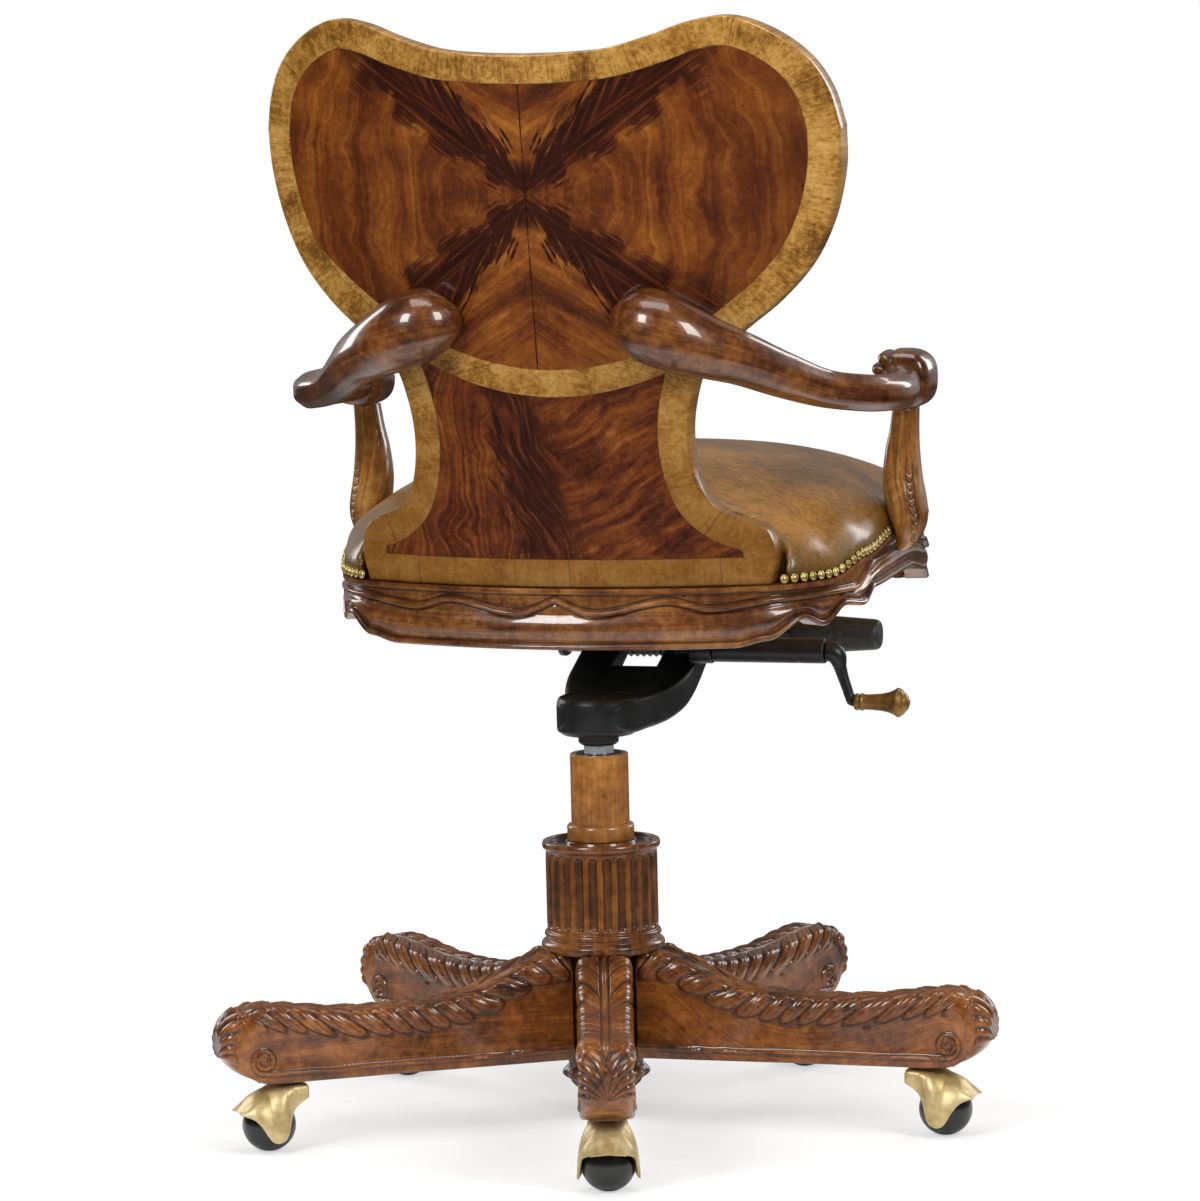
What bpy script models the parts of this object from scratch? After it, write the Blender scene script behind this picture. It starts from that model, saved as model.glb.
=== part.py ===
# Carved swivel desk chair. Metres, +Z up, the floor at z = 0.
# The sitter faces -Y and has the right hand on the -X side.

import math

import bmesh
import bpy
from mathutils import Matrix, Vector

# Clearances
GAP = 0.0003
PIN_GAP = 0.0003

# Castors
BALL_RADIUS = 0.025
BALL_CUP_GAP = 0.0013
CASTOR_TRAIL = 0.0185
HOOD_ROOF = 0.0132
HOOD_CHEEK = 0.0037
HOOD_BOSS_RADIUS = 0.019
AXLE_RADIUS = 0.003
STEM_RADIUS = 0.005
STEM_LENGTH = 0.030
STEM_IN_HOOD = 0.0115
THRUST_RING_RADIUS = 0.011
THRUST_RING_HEIGHT = 0.0022

# Five-leg base
LEG_COUNT = 5
FIRST_LEG_AZIMUTH = math.radians(107.0)
LEG_REACH = 0.378
LEG_WIDTH = 0.050
LEG_WAIST_WIDTH = 0.046
LEG_MIDDLE_HEIGHT = 0.061
LEG_TIP_HEIGHT = 0.070
CASTOR_SET_IN = 0.0655
HUB_APOTHEM = 0.0385
HUB_HEIGHT = 0.099
HUB_FLOOR = 0.013
PENDANT_HEIGHT = 0.036

# Fluted drum, collar and sleeve
DRUM_RADIUS = 0.0520
DRUM_HEIGHT = 0.104
DRUM_RIM_RADIUS = 0.0551
DRUM_RIM_HEIGHT = 0.008
DRUM_RING_RADIUS = 0.0565
DRUM_RING_HEIGHT = 0.018
FLUTE_COUNT = 24
FLUTE_DEPTH = 0.0030
FLUTE_SHARE = 0.62
SLEEVE_WALL = 0.0021
SLEEVE_HEIGHT = 0.0815
COLLAR_WALL = 0.0035
COLLAR_HEIGHT = 0.015

# Gas lift
TUBE_RADIUS = 0.0250
TUBE_WALL = 0.0020
CYLINDER_RADIUS = 0.0140
CYLINDER_LENGTH = 0.267
PISTON_RADIUS = 0.0050
PISTON_ENGAGED = 0.060
PISTON_SPARE = 0.035
BEARING_RADIUS = 0.0160
BEARING_HEIGHT = 0.0070
CLIP_THICKNESS = 0.0020
BUSH_HEIGHT = 0.050
LIFT_TRAVEL = 0.100
LIFT_SHOWN = 0.0075
RELEASE_PIN_RADIUS = 0.0040
RELEASE_PIN_LENGTH = 0.0110
RELEASE_TRAVEL = 0.0030

# Tilt yoke and seat plate
YOKE_BOSS_RADIUS = 0.0190
YOKE_BOSS_HEIGHT = 0.009
YOKE_HUB_RADIUS = 0.046
YOKE_HUB_HEIGHT = 0.037
YOKE_ROOF = 0.0085
YOKE_ARM_INNER = 0.022
YOKE_ARM_WIDTH = 0.038
PIVOT_FORWARD = 0.170
PIVOT_RISE = 0.025
PIVOT_BARREL_RADIUS = 0.014
BARREL_PROUD = 0.0010
PIVOT_PIN_RADIUS = 0.006
PLATE_ABOVE_PIVOT = 0.020
PLATE_THICKNESS = 0.004
PLATE_HALF_WIDTH = 0.085
PLATE_REAR = 0.045
PLATE_FRONT = 0.215
FLANGE_DROP = 0.030
SPRING_WIRE_RADIUS = 0.0018
SPRING_TURNS = 6
BEARER_WIDTH = 0.036
BEARER_LENGTH = 0.150
BEARER_HEIGHT = 0.0490
BEARER_TIE = 0.030

# Tension crank and height lever
CRANK_FORWARD = 0.100
CRANK_DROP = 0.0124
CRANK_TUBE_RADIUS = 0.012
CRANK_TUBE_LENGTH = 0.110
CRANK_SHAFT_RADIUS = 0.0055
CRANK_SHAFT_INSIDE = 0.030
CRANK_THROW = 0.048
CRANK_ARM_REACH = 0.018
CRANK_PIN_RADIUS = 0.0040
CRANK_PIN_LENGTH = 0.045
KNOB_LENGTH = 0.053
KNOB_RADIUS = 0.014
KNOB_NECK_RADIUS = 0.0077
LEVER_FORWARD = 0.190
LEVER_DROP = 0.008
LEVER_ROD_RADIUS = 0.005
LEVER_INSIDE = 0.025
LEVER_LENGTH = 0.130
LEVER_HOLE_GAP = 0.0008
GRIP_LENGTH = 0.086
GRIP_RADIUS = 0.018
GRIP_END_RADIUS = 0.013

# Seat
SEAT_WIDTH = 0.512
SEAT_DEPTH = 0.501
RAIL_PROUD = 0.006
RAIL_THICKNESS = 0.024
DECK_THICKNESS = 0.012
RAIL_ABOVE_DECK = 0.0065
RAIL_SIDE_RISE = 0.0235
RAIL_REAR_DEPTH = 0.057
RAIL_SIDE_DEPTH = 0.040
RAIL_FRONT_DEPTH = 0.066
RAIL_COVE = 0.0045
RAIL_FILLET = 0.008
RAIL_EASE = 0.0015
RAIL_BEAD = 0.009
RAIL_DIP = 0.006
CUSHION_CROWN = 0.078
CUSHION_SIDE = 0.026
CUSHION_SET_IN = 0.0035
CUSHION_BACK_GAP = 0.0020
CUSHION_WRAP = 0.022

# Back
PANEL_THICKNESS = 0.027
PANEL_FOOT_Y = 0.127
PANEL_LEAN = 0.158
PANEL_BARREL_RADIUS = 0.424
PANEL_HEIGHT = 0.5275
PANEL_WIDTH = 0.549
PANEL_WAIST = 0.479
PAD_THICKNESS = 0.024
PAD_EDGE = 0.007

# Arms and posts
ARM_THICKNESS = 0.034
KNUCKLE_THICKNESS = 0.068
HANDHOLD_THICKNESS = 0.058
ARM_HEIGHT = 0.168
ARM_BOW = 0.284
KNUCKLE_X = 0.108
KNUCKLE_RISE = 0.079
KNUCKLE_PROUD = 0.020
HANDHOLD_OUT = 0.012
POST_FORWARD = 0.140
POST_THICKNESS = 0.029
POST_DEPTH = 0.050
POST_FOOT_DROP = 0.022

# Facets
PANEL_COLUMNS = 14
PANEL_ROWS = 16
PAD_COLUMNS = 10
PAD_ROWS = 10

# Where the rails meet, as shares of the way from the rear middle to the front middle
REAR_CORNER_SHARE = 0.265
FRONT_CORNER_SHARE = 0.755

# The column stands beside the middle of the chair's outline, which is the origin.
COLUMN_X = 0.0272
COLUMN_Y = -0.0004

# Sizes that follow from the ones above
CASTOR_HEIGHT = 2.0 * BALL_RADIUS + HOOD_ROOF
HOOD_HALF_WIDTH = BALL_RADIUS + HOOD_CHEEK
CASTOR_CIRCLE = LEG_REACH - CASTOR_SET_IN
SLEEVE_RADIUS = TUBE_RADIUS + GAP + SLEEVE_WALL
COLLAR_RADIUS = SLEEVE_RADIUS + GAP + COLLAR_WALL
SEAT_REAR = PANEL_FOOT_Y + RAIL_PROUD

# Levels from the floor up
LEG_BOTTOM = CASTOR_HEIGHT + THRUST_RING_HEIGHT + 2.0 * GAP
HUB_BOTTOM = LEG_BOTTOM + 0.001
HUB_TOP = HUB_BOTTOM + HUB_HEIGHT
DRUM_BOTTOM = HUB_TOP + GAP
DRUM_TOP = DRUM_BOTTOM + DRUM_HEIGHT
SLEEVE_BOTTOM = DRUM_TOP + GAP
SLEEVE_TOP = SLEEVE_BOTTOM + SLEEVE_HEIGHT
TUBE_BOTTOM = HUB_BOTTOM + HUB_FLOOR + GAP
BEARING_BOTTOM = TUBE_BOTTOM + GAP
YOKE_BOTTOM = SLEEVE_TOP + LIFT_SHOWN
YOKE_HUB_BOTTOM = YOKE_BOTTOM + YOKE_BOSS_HEIGHT
YOKE_TOP = YOKE_HUB_BOTTOM + YOKE_HUB_HEIGHT
CYLINDER_TOP = YOKE_TOP - YOKE_ROOF - RELEASE_PIN_LENGTH
CYLINDER_BOTTOM = CYLINDER_TOP - CYLINDER_LENGTH
PISTON_TOP = CYLINDER_BOTTOM + LIFT_TRAVEL + PISTON_ENGAGED
PIVOT_Z = YOKE_TOP + PIVOT_RISE
PLATE_BOTTOM = PIVOT_Z + PLATE_ABOVE_PIVOT
PLATE_TOP = PLATE_BOTTOM + PLATE_THICKNESS
CRANK_Z = PLATE_BOTTOM - CRANK_DROP
LEVER_Z = PLATE_BOTTOM - LEVER_DROP
BEARER_BOTTOM = PLATE_TOP + GAP
DECK_BOTTOM = BEARER_BOTTOM + BEARER_HEIGHT + GAP
DECK_TOP = DECK_BOTTOM + DECK_THICKNESS
RAIL_TOP = DECK_TOP + RAIL_ABOVE_DECK
PANEL_BOTTOM = RAIL_TOP + GAP
ARM_Z = RAIL_TOP + ARM_HEIGHT


def clear_scene():
    for item in list(bpy.data.objects):
        bpy.data.objects.remove(item, do_unlink=True)


def linear(channel):
    return channel / 12.92 if channel <= 0.04045 else ((channel + 0.055) / 1.055) ** 2.4


def material(name, colour, roughness, metallic=0.0):
    mat = bpy.data.materials.new(name)
    mat.use_nodes = True
    shader = mat.node_tree.nodes["Principled BSDF"]
    rgb = [linear(int(colour[i:i + 2], 16) / 255.0) for i in (1, 3, 5)]
    shader.inputs["Base Color"].default_value = (*rgb, 1.0)
    shader.inputs["Roughness"].default_value = roughness
    shader.inputs["Metallic"].default_value = metallic
    return mat


FINISHES = {
    "mahogany": ("#5a2c12", 0.32, 0.0),
    "veneer": ("#7a4216", 0.25, 0.0),
    "sleeve_wood": ("#8a5526", 0.40, 0.0),
    "plywood": ("#b89868", 0.70, 0.0),
    "leather": ("#7b5a28", 0.42, 0.0),
    "brass": ("#b5914a", 0.38, 1.0),
    "black_rubber": ("#151515", 0.35, 0.0),
    "black_steel": ("#17181a", 0.45, 0.3),
    "chrome": ("#d5d7da", 0.12, 1.0),
    "zinc": ("#a3a6a8", 0.35, 1.0),
    "nylon": ("#1c1c1e", 0.50, 0.0),
}

ROOT = None
MATERIALS = {}


def world_empty():
    empty = bpy.data.objects.new("column_axis", None)
    empty.location = (COLUMN_X, COLUMN_Y, 0.0)
    bpy.context.scene.collection.objects.link(empty)
    return empty


def add(name, bm, finish, origin=(0.0, 0.0, 0.0), turn=0.0, smooth_angle=40.0):
    """Makes a named object of a bmesh drawn in the chair's frame round the column axis."""
    bmesh.ops.recalc_face_normals(bm, faces=bm.faces)
    mesh = bpy.data.meshes.new(name)
    bm.to_mesh(mesh)
    bm.free()
    mesh.transform(Matrix.Translation(-Vector(origin)))
    mesh.shade_smooth()
    mesh.set_sharp_from_angle(angle=math.radians(smooth_angle))
    mesh.materials.append(MATERIALS[finish])
    item = bpy.data.objects.new(name, mesh)
    bpy.context.scene.collection.objects.link(item)
    item.parent = ROOT
    item.location = origin
    item.rotation_euler.z = turn
    return item


def copy_of(item, name, location, turn):
    twin = bpy.data.objects.new(name, item.data)
    bpy.context.scene.collection.objects.link(twin)
    twin.parent = ROOT
    twin.location = location
    twin.rotation_euler.z = turn
    return twin


def boolean(item, cutter, operation="DIFFERENCE"):
    """Joins or cuts one piece with another, and keeps the result in its mesh."""
    modifier = item.modifiers.new("shape", "BOOLEAN")
    modifier.operation = operation
    modifier.solver = "EXACT"
    modifier.object = cutter
    bpy.context.view_layer.update()
    graph = bpy.context.evaluated_depsgraph_get()
    mesh = bpy.data.meshes.new_from_object(item.evaluated_get(graph))
    item.modifiers.clear()
    mesh.set_sharp_from_angle(angle=math.radians(40.0))
    item.data = mesh
    bpy.data.objects.remove(cutter, do_unlink=True)


def turned(profile, segments=32, axis="Z", centre=(0.0, 0.0, 0.0)):
    """Spins a closed (radius, height) outline about an axis through the centre."""
    bm = bmesh.new()
    verts = [bm.verts.new((radius, 0.0, height)) for radius, height in profile]
    edges = [bm.edges.new((verts[i], verts[(i + 1) % len(verts)])) for i in range(len(verts))]
    bmesh.ops.spin(bm, geom=verts + edges, cent=(0, 0, 0), axis=(0, 0, 1),
                   angle=2.0 * math.pi, steps=segments, use_merge=True)
    bmesh.ops.remove_doubles(bm, verts=bm.verts, dist=1e-6)
    bmesh.ops.dissolve_degenerate(bm, edges=bm.edges, dist=1e-6)
    if axis == "X":
        bmesh.ops.rotate(bm, verts=bm.verts, matrix=Matrix.Rotation(math.pi / 2.0, 3, "Y"))
    if axis == "Y":
        bmesh.ops.rotate(bm, verts=bm.verts, matrix=Matrix.Rotation(-math.pi / 2.0, 3, "X"))
    bmesh.ops.translate(bm, verts=bm.verts, vec=centre)
    return bm


def rod(radius, low, high, segments=24, axis="Z", centre=(0.0, 0.0, 0.0)):
    """A plain round bar between two heights along its axis."""
    return turned([(0.0, low), (radius, low), (radius, high), (0.0, high)], segments, axis, centre)


def ring(inner, outer, low, high, segments=32, axis="Z", centre=(0.0, 0.0, 0.0)):
    outline = [(inner, low), (outer, low), (outer, high), (inner, high)]
    return turned(outline, segments, axis, centre)


def slab(outline, low, high, plane="XY"):
    """Extrudes a flat outline. The plane's third direction runs from low to high."""
    bm = bmesh.new()
    if plane == "XY":
        verts = [bm.verts.new((a, b, low)) for a, b in outline]
        step = (0.0, 0.0, high - low)
    else:
        verts = [bm.verts.new((low, a, b)) for a, b in outline]
        step = (high - low, 0.0, 0.0)
    face = bm.faces.new(verts)
    grown = bmesh.ops.extrude_face_region(bm, geom=[face])
    moved = [g for g in grown["geom"] if isinstance(g, bmesh.types.BMVert)]
    bmesh.ops.translate(bm, verts=moved, vec=step)
    return bm


def loft(rings, closed_path=False):
    """Skins a row of rings of points, with a cap on each end."""
    bm = bmesh.new()
    loops = [[bm.verts.new(point) for point in points] for points in rings]
    count = len(loops[0])
    spans = len(loops) if closed_path else len(loops) - 1
    for i in range(spans):
        here = loops[i]
        there = loops[(i + 1) % len(loops)]
        for j in range(count):
            k = (j + 1) % count
            bm.faces.new((here[j], here[k], there[k], there[j]))
    if not closed_path:
        bm.faces.new(list(reversed(loops[0])))
        bm.faces.new(loops[-1])
    return bm


def smooth_curve(points, steps):
    """Catmull-Rom curve through points of any number of values, steps to a span."""
    rows = [Vector(p) for p in points]
    rows = [rows[0] * 2.0 - rows[1]] + rows + [rows[-1] * 2.0 - rows[-2]]
    result = []
    for i in range(1, len(rows) - 2):
        a, b, c, d = rows[i - 1:i + 3]
        for step in range(steps):
            t = step / steps
            result.append(0.5 * ((2.0 * b) + (c - a) * t + (2.0 * a - 5.0 * b + 4.0 * c - d) * t * t
                                 + (3.0 * b - 3.0 * c + d - a) * t ** 3))
    result.append(rows[-2])
    return result


def resample(points, count):
    """Even spacing along a row of points."""
    lengths = [0.0]
    for a, b in zip(points, points[1:]):
        lengths.append(lengths[-1] + (b - a).length)
    result = []
    for i in range(count):
        goal = lengths[-1] * i / (count - 1)
        k = max(j for j in range(len(lengths)) if lengths[j] <= goal + 1e-12)
        k = min(k, len(points) - 2)
        share = (goal - lengths[k]) / (lengths[k + 1] - lengths[k])
        result.append(points[k].lerp(points[k + 1], share))
    return result


def between(rows, t):
    """Smooth value at t from rows of (place, value)."""
    for (t0, v0), (t1, v1) in zip(rows, rows[1:]):
        if t <= t1:
            share = min(1.0, max(0.0, (t - t0) / (t1 - t0)))
            share = share * share * (3.0 - 2.0 * share)
            return v0 + (v1 - v0) * share
    return rows[-1][1]


def leg_azimuth(index):
    return FIRST_LEG_AZIMUTH + index * 2.0 * math.pi / LEG_COUNT


def outward(azimuth, distance, height=0.0):
    return Vector((distance * math.cos(azimuth), distance * math.sin(azimuth), height))


# Base


def leg_mesh():
    """One leg along +X: deep at the hub, slim in the middle, a scrolled toe over the castor."""
    inner = HUB_APOTHEM + GAP
    toe = LEG_TIP_HEIGHT / 2.0
    run = LEG_REACH - toe - inner
    root = HUB_TOP - LEG_BOTTOM
    top = [(0.0, root), (0.06, root), (0.45, LEG_MIDDLE_HEIGHT + 0.004),
           (0.72, LEG_MIDDLE_HEIGHT), (1.0, LEG_TIP_HEIGHT)]
    stations = [inner + run * i / 9.0 for i in range(10)]
    spans = [(r, 0.0, between(top, (r - inner) / run)) for r in stations]
    centre = LEG_REACH - toe
    for i in range(1, 6):
        angle = i * math.pi / 2.0 / 6.0
        reach = centre + toe * math.sin(angle)
        half = toe * math.cos(angle)
        spans.append((reach, toe - half, toe + half))
    spans.append((LEG_REACH, toe - toe * 0.14, toe + toe * 0.14))
    rings = []
    for r, low, high in spans:
        share = (r - inner) / run
        width = between([(0.0, LEG_WIDTH), (0.5, LEG_WAIST_WIDTH), (1.0, LEG_WIDTH)], share)
        half = width / 2.0
        tall = high - low
        soft = min(0.014, tall * 0.3)
        foot = min(0.004, tall * 0.2)
        outline = [(half - foot, low), (half, low + foot), (half * 0.94, low + tall * 0.55),
                   (half * 0.98, high - soft), (half * 0.70, high - soft * 0.30), (half * 0.25, high)]
        outline = outline + [(-y, z) for y, z in reversed(outline)]
        rings.append([(r, y, LEG_BOTTOM + z) for y, z in outline])
    return loft(rings)


def build_base():
    count = 2 * LEG_COUNT
    corner = HUB_APOTHEM / math.cos(math.pi / count)
    start = FIRST_LEG_AZIMUTH + math.pi / count
    outline = [tuple(outward(start + i * 2.0 * math.pi / count, corner).xy) for i in range(count)]
    hub = add("base_hub", slab(outline, HUB_BOTTOM, HUB_TOP), "mahogany", smooth_angle=20.0)
    bore = rod(TUBE_RADIUS + GAP, HUB_BOTTOM + HUB_FLOOR, HUB_TOP + 0.01, 32)
    boolean(hub, add("hub_bore", bore, "mahogany"))

    low = HUB_BOTTOM - GAP
    pendant = [(0.0, low), (0.0375, low), (0.0375, low - 0.005), (0.0335, low - 0.010),
               (0.0385, low - 0.016), (0.0385, low - 0.020), (0.0300, low - 0.026),
               (0.0220, low - PENDANT_HEIGHT), (0.0, low - PENDANT_HEIGHT)]
    add("base_pendant", turned(list(reversed(pendant)), 20), "mahogany")

    master = add("leg_pattern", leg_mesh(), "mahogany")
    socket = rod(STEM_RADIUS + PIN_GAP, LEG_BOTTOM - 0.01, LEG_BOTTOM + STEM_LENGTH + GAP, 12,
                 centre=(CASTOR_CIRCLE, 0.0, 0.0))
    boolean(master, add("leg_socket", socket, "mahogany"))
    for i in range(LEG_COUNT):
        copy_of(master, f"leg_{i + 1}", (0.0, 0.0, 0.0), leg_azimuth(i))
    bpy.data.objects.remove(master, do_unlink=True)

    build_drum()
    build_column()


def build_drum():
    """Bead ring, fluted body and rim in one turned and carved block."""
    inner = TUBE_RADIUS + GAP
    body_low = DRUM_BOTTOM + DRUM_RING_HEIGHT
    body_high = DRUM_TOP - DRUM_RIM_HEIGHT
    pitch = 2.0 * math.pi / FLUTE_COUNT
    half = pitch * FLUTE_SHARE / 2.0
    angles = []
    for i in range(FLUTE_COUNT):
        middle = i * pitch
        angles += [(middle - half, 0.0), (middle, 1.0), (middle + half, 0.0)]

    def circle(radius, height, cut):
        points = []
        for angle, share in angles:
            depth = FLUTE_DEPTH * share * cut
            points.append((radius - depth) * Vector((math.cos(angle), math.sin(angle), 0.0))
                          + Vector((0.0, 0.0, height)))
        return points

    bead = DRUM_RING_RADIUS
    rings = [circle(inner, DRUM_BOTTOM, 0.0),
             circle(bead, DRUM_BOTTOM, 0.0),
             circle(bead, DRUM_BOTTOM + DRUM_RING_HEIGHT * 0.65, 0.0),
             circle(DRUM_RADIUS, body_low, 0.0),
             circle(DRUM_RADIUS, body_low + 0.003, 1.0),
             circle(DRUM_RADIUS, body_high - 0.003, 1.0),
             circle(DRUM_RADIUS, body_high, 0.0),
             circle(DRUM_RIM_RADIUS, DRUM_TOP, 0.0),
             circle(inner, DRUM_TOP, 0.0)]
    add("fluted_drum", loft(rings, closed_path=True), "mahogany", smooth_angle=30.0)


def build_column():
    inner = TUBE_RADIUS + GAP
    add("column_sleeve", ring(inner, SLEEVE_RADIUS, SLEEVE_BOTTOM, SLEEVE_TOP, 32), "sleeve_wood")
    collar_in = SLEEVE_RADIUS + GAP
    collar_top = SLEEVE_BOTTOM + COLLAR_HEIGHT
    collar = [(collar_in, SLEEVE_BOTTOM), (COLLAR_RADIUS, SLEEVE_BOTTOM),
              (COLLAR_RADIUS, collar_top - 0.004), (COLLAR_RADIUS - 0.0012, collar_top),
              (collar_in, collar_top)]
    add("column_collar", turned(collar, 32), "mahogany")
    tube_in = TUBE_RADIUS - TUBE_WALL
    tube_top = SLEEVE_TOP - GAP
    floor = TUBE_BOTTOM
    # The tube's floor is the bearing clip, so the tube itself is open at both ends.
    add("gas_tube", ring(tube_in, TUBE_RADIUS, floor, tube_top, 32), "black_steel")
    clip_top = BEARING_BOTTOM + CLIP_THICKNESS
    clip = [(PISTON_RADIUS + PIN_GAP, BEARING_BOTTOM), (tube_in - GAP, BEARING_BOTTOM),
            (tube_in - GAP, clip_top), (BEARING_RADIUS, clip_top),
            (BEARING_RADIUS, BEARING_BOTTOM + BEARING_HEIGHT),
            (PISTON_RADIUS + PIN_GAP, BEARING_BOTTOM + BEARING_HEIGHT)]
    add("bearing_clip", turned(clip, 24), "zinc")
    bush = ring(CYLINDER_RADIUS + PIN_GAP, tube_in - GAP, tube_top - BUSH_HEIGHT, tube_top, 16)
    add("tube_bush", bush, "nylon")


# Castors


def hood_outline():
    """Side view of the hood: a round boss on the stem, a cheek round the ball, a front lip."""
    c = CASTOR_TRAIL
    b = HOOD_BOSS_RADIUS
    top = CASTOR_HEIGHT
    r = BALL_RADIUS
    return [(-b, top), (-b, top - 0.0127), (-b + 0.013, top - 0.0177), (c - 0.0165, r + 0.009),
            (c - 0.0105, r - 0.007), (c - 0.006, r - 0.0135), (c, r - 0.0145),
            (c + 0.0055, r - 0.012), (c + 0.0125, r + 0.001), (c + 0.0175, r + 0.009),
            (c + r + 0.0070, r + 0.0150), (c + r + 0.0060, r + 0.0195), (c + 0.0175, r + 0.0285),
            (c + 0.0030, top - 0.0005), (c - 0.0065, top)]


def build_castors():
    width = HOOD_HALF_WIDTH
    hood = slab(hood_outline(), -width, width, plane="XZ")
    bmesh.ops.rotate(hood, verts=hood.verts, matrix=Matrix.Rotation(-math.pi / 2.0, 3, "Z"))
    master = add("hood_pattern", hood, "brass")
    # The plan narrows from the cheeks to the round boss on the stem.
    boss = HOOD_BOSS_RADIUS
    reach = CASTOR_TRAIL + BALL_RADIUS + 0.010
    plan = [(-boss, -boss * 0.45), (-boss * 0.5, -boss * 0.9), (0.0, -boss), (CASTOR_TRAIL * 0.55, -width),
            (CASTOR_TRAIL + BALL_RADIUS * 0.6, -width), (reach, -0.006)]
    plan = plan + [(a, -b) for a, b in reversed(plan)]
    boolean(master, add("hood_plan", slab(plan, -0.01, CASTOR_HEIGHT + 0.01), "brass"), "INTERSECT")
    cup = bmesh.new()
    bmesh.ops.create_uvsphere(cup, u_segments=14, v_segments=8, radius=BALL_RADIUS + BALL_CUP_GAP)
    bmesh.ops.rotate(cup, verts=cup.verts, matrix=Matrix.Rotation(math.pi / 2.0, 3, "X"))
    bmesh.ops.translate(cup, verts=cup.verts, vec=(CASTOR_TRAIL, 0.0, BALL_RADIUS))
    boolean(master, add("hood_cup", cup, "brass"))
    axle_half = HOOD_HALF_WIDTH - 0.0008
    hole = rod(AXLE_RADIUS + PIN_GAP, -axle_half - GAP, axle_half + GAP, 8, "Y",
               (CASTOR_TRAIL, 0.0, BALL_RADIUS))
    boolean(master, add("hood_hole", hole, "brass"))
    stem_floor = CASTOR_HEIGHT - STEM_IN_HOOD - 2.0 * GAP
    stem_hole = rod(STEM_RADIUS + PIN_GAP, stem_floor, CASTOR_HEIGHT + 0.01, 12)
    boolean(master, add("stem_hole", stem_hole, "brass"))

    ball = bmesh.new()
    bmesh.ops.create_uvsphere(ball, u_segments=14, v_segments=8, radius=BALL_RADIUS)
    bmesh.ops.rotate(ball, verts=ball.verts, matrix=Matrix.Rotation(math.pi / 2.0, 3, "X"))
    ball_master = add("ball_pattern", ball, "black_rubber")
    ball_hole = rod(AXLE_RADIUS + PIN_GAP, -2.0 * BALL_RADIUS, 2.0 * BALL_RADIUS, 8, "Y")
    boolean(ball_master, add("ball_hole", ball_hole, "black_rubber"))
    axle_master = add("axle_pattern", rod(AXLE_RADIUS, -axle_half, axle_half, 8, "Y"), "zinc")
    low = CASTOR_HEIGHT - STEM_IN_HOOD
    ring_low = CASTOR_HEIGHT + GAP
    ring_high = ring_low + THRUST_RING_HEIGHT
    stem = [(0.0, low), (STEM_RADIUS, low), (STEM_RADIUS, ring_low), (THRUST_RING_RADIUS, ring_low),
            (THRUST_RING_RADIUS, ring_high), (STEM_RADIUS, ring_high),
            (STEM_RADIUS, LEG_BOTTOM + STEM_LENGTH), (0.0, LEG_BOTTOM + STEM_LENGTH)]
    stem_master = add("stem_pattern", turned(stem, 12), "black_steel")

    for i in range(LEG_COUNT):
        azimuth = leg_azimuth(i)
        stem_place = outward(azimuth, CASTOR_CIRCLE)
        ball_place = outward(azimuth, CASTOR_CIRCLE + CASTOR_TRAIL, BALL_RADIUS)
        copy_of(stem_master, f"castor_stem_{i + 1}", stem_place, azimuth)
        copy_of(master, f"castor_hood_{i + 1}", stem_place, azimuth)
        copy_of(axle_master, f"castor_axle_{i + 1}", ball_place, azimuth)
        copy_of(ball_master, f"castor_ball_{i + 1}", ball_place, azimuth)
    for item in (master, ball_master, axle_master, stem_master):
        bpy.data.objects.remove(item, do_unlink=True)


# Gas lift and tilt mechanism


def build_lift():
    add("piston_rod", rod(PISTON_RADIUS, BEARING_BOTTOM + GAP, PISTON_TOP, 16), "chrome")
    cylinder = add("gas_cylinder", rod(CYLINDER_RADIUS, CYLINDER_BOTTOM, CYLINDER_TOP, 16), "chrome")
    bore = rod(PISTON_RADIUS + PIN_GAP, CYLINDER_BOTTOM - 0.01, PISTON_TOP + PISTON_SPARE, 16)
    boolean(cylinder, add("piston_bore", bore, "chrome"))
    seat = CYLINDER_TOP - RELEASE_TRAVEL - 2.0 * GAP
    recess = rod(RELEASE_PIN_RADIUS + PIN_GAP, seat, CYLINDER_TOP + 0.01, 12)
    boolean(cylinder, add("pin_recess", recess, "chrome"))
    pin_low = CYLINDER_TOP - GAP
    pin_high = pin_low + RELEASE_PIN_LENGTH - GAP
    add("release_pin", rod(RELEASE_PIN_RADIUS, pin_low, pin_high, 12), "zinc", origin=(0, 0, pin_low))


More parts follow.
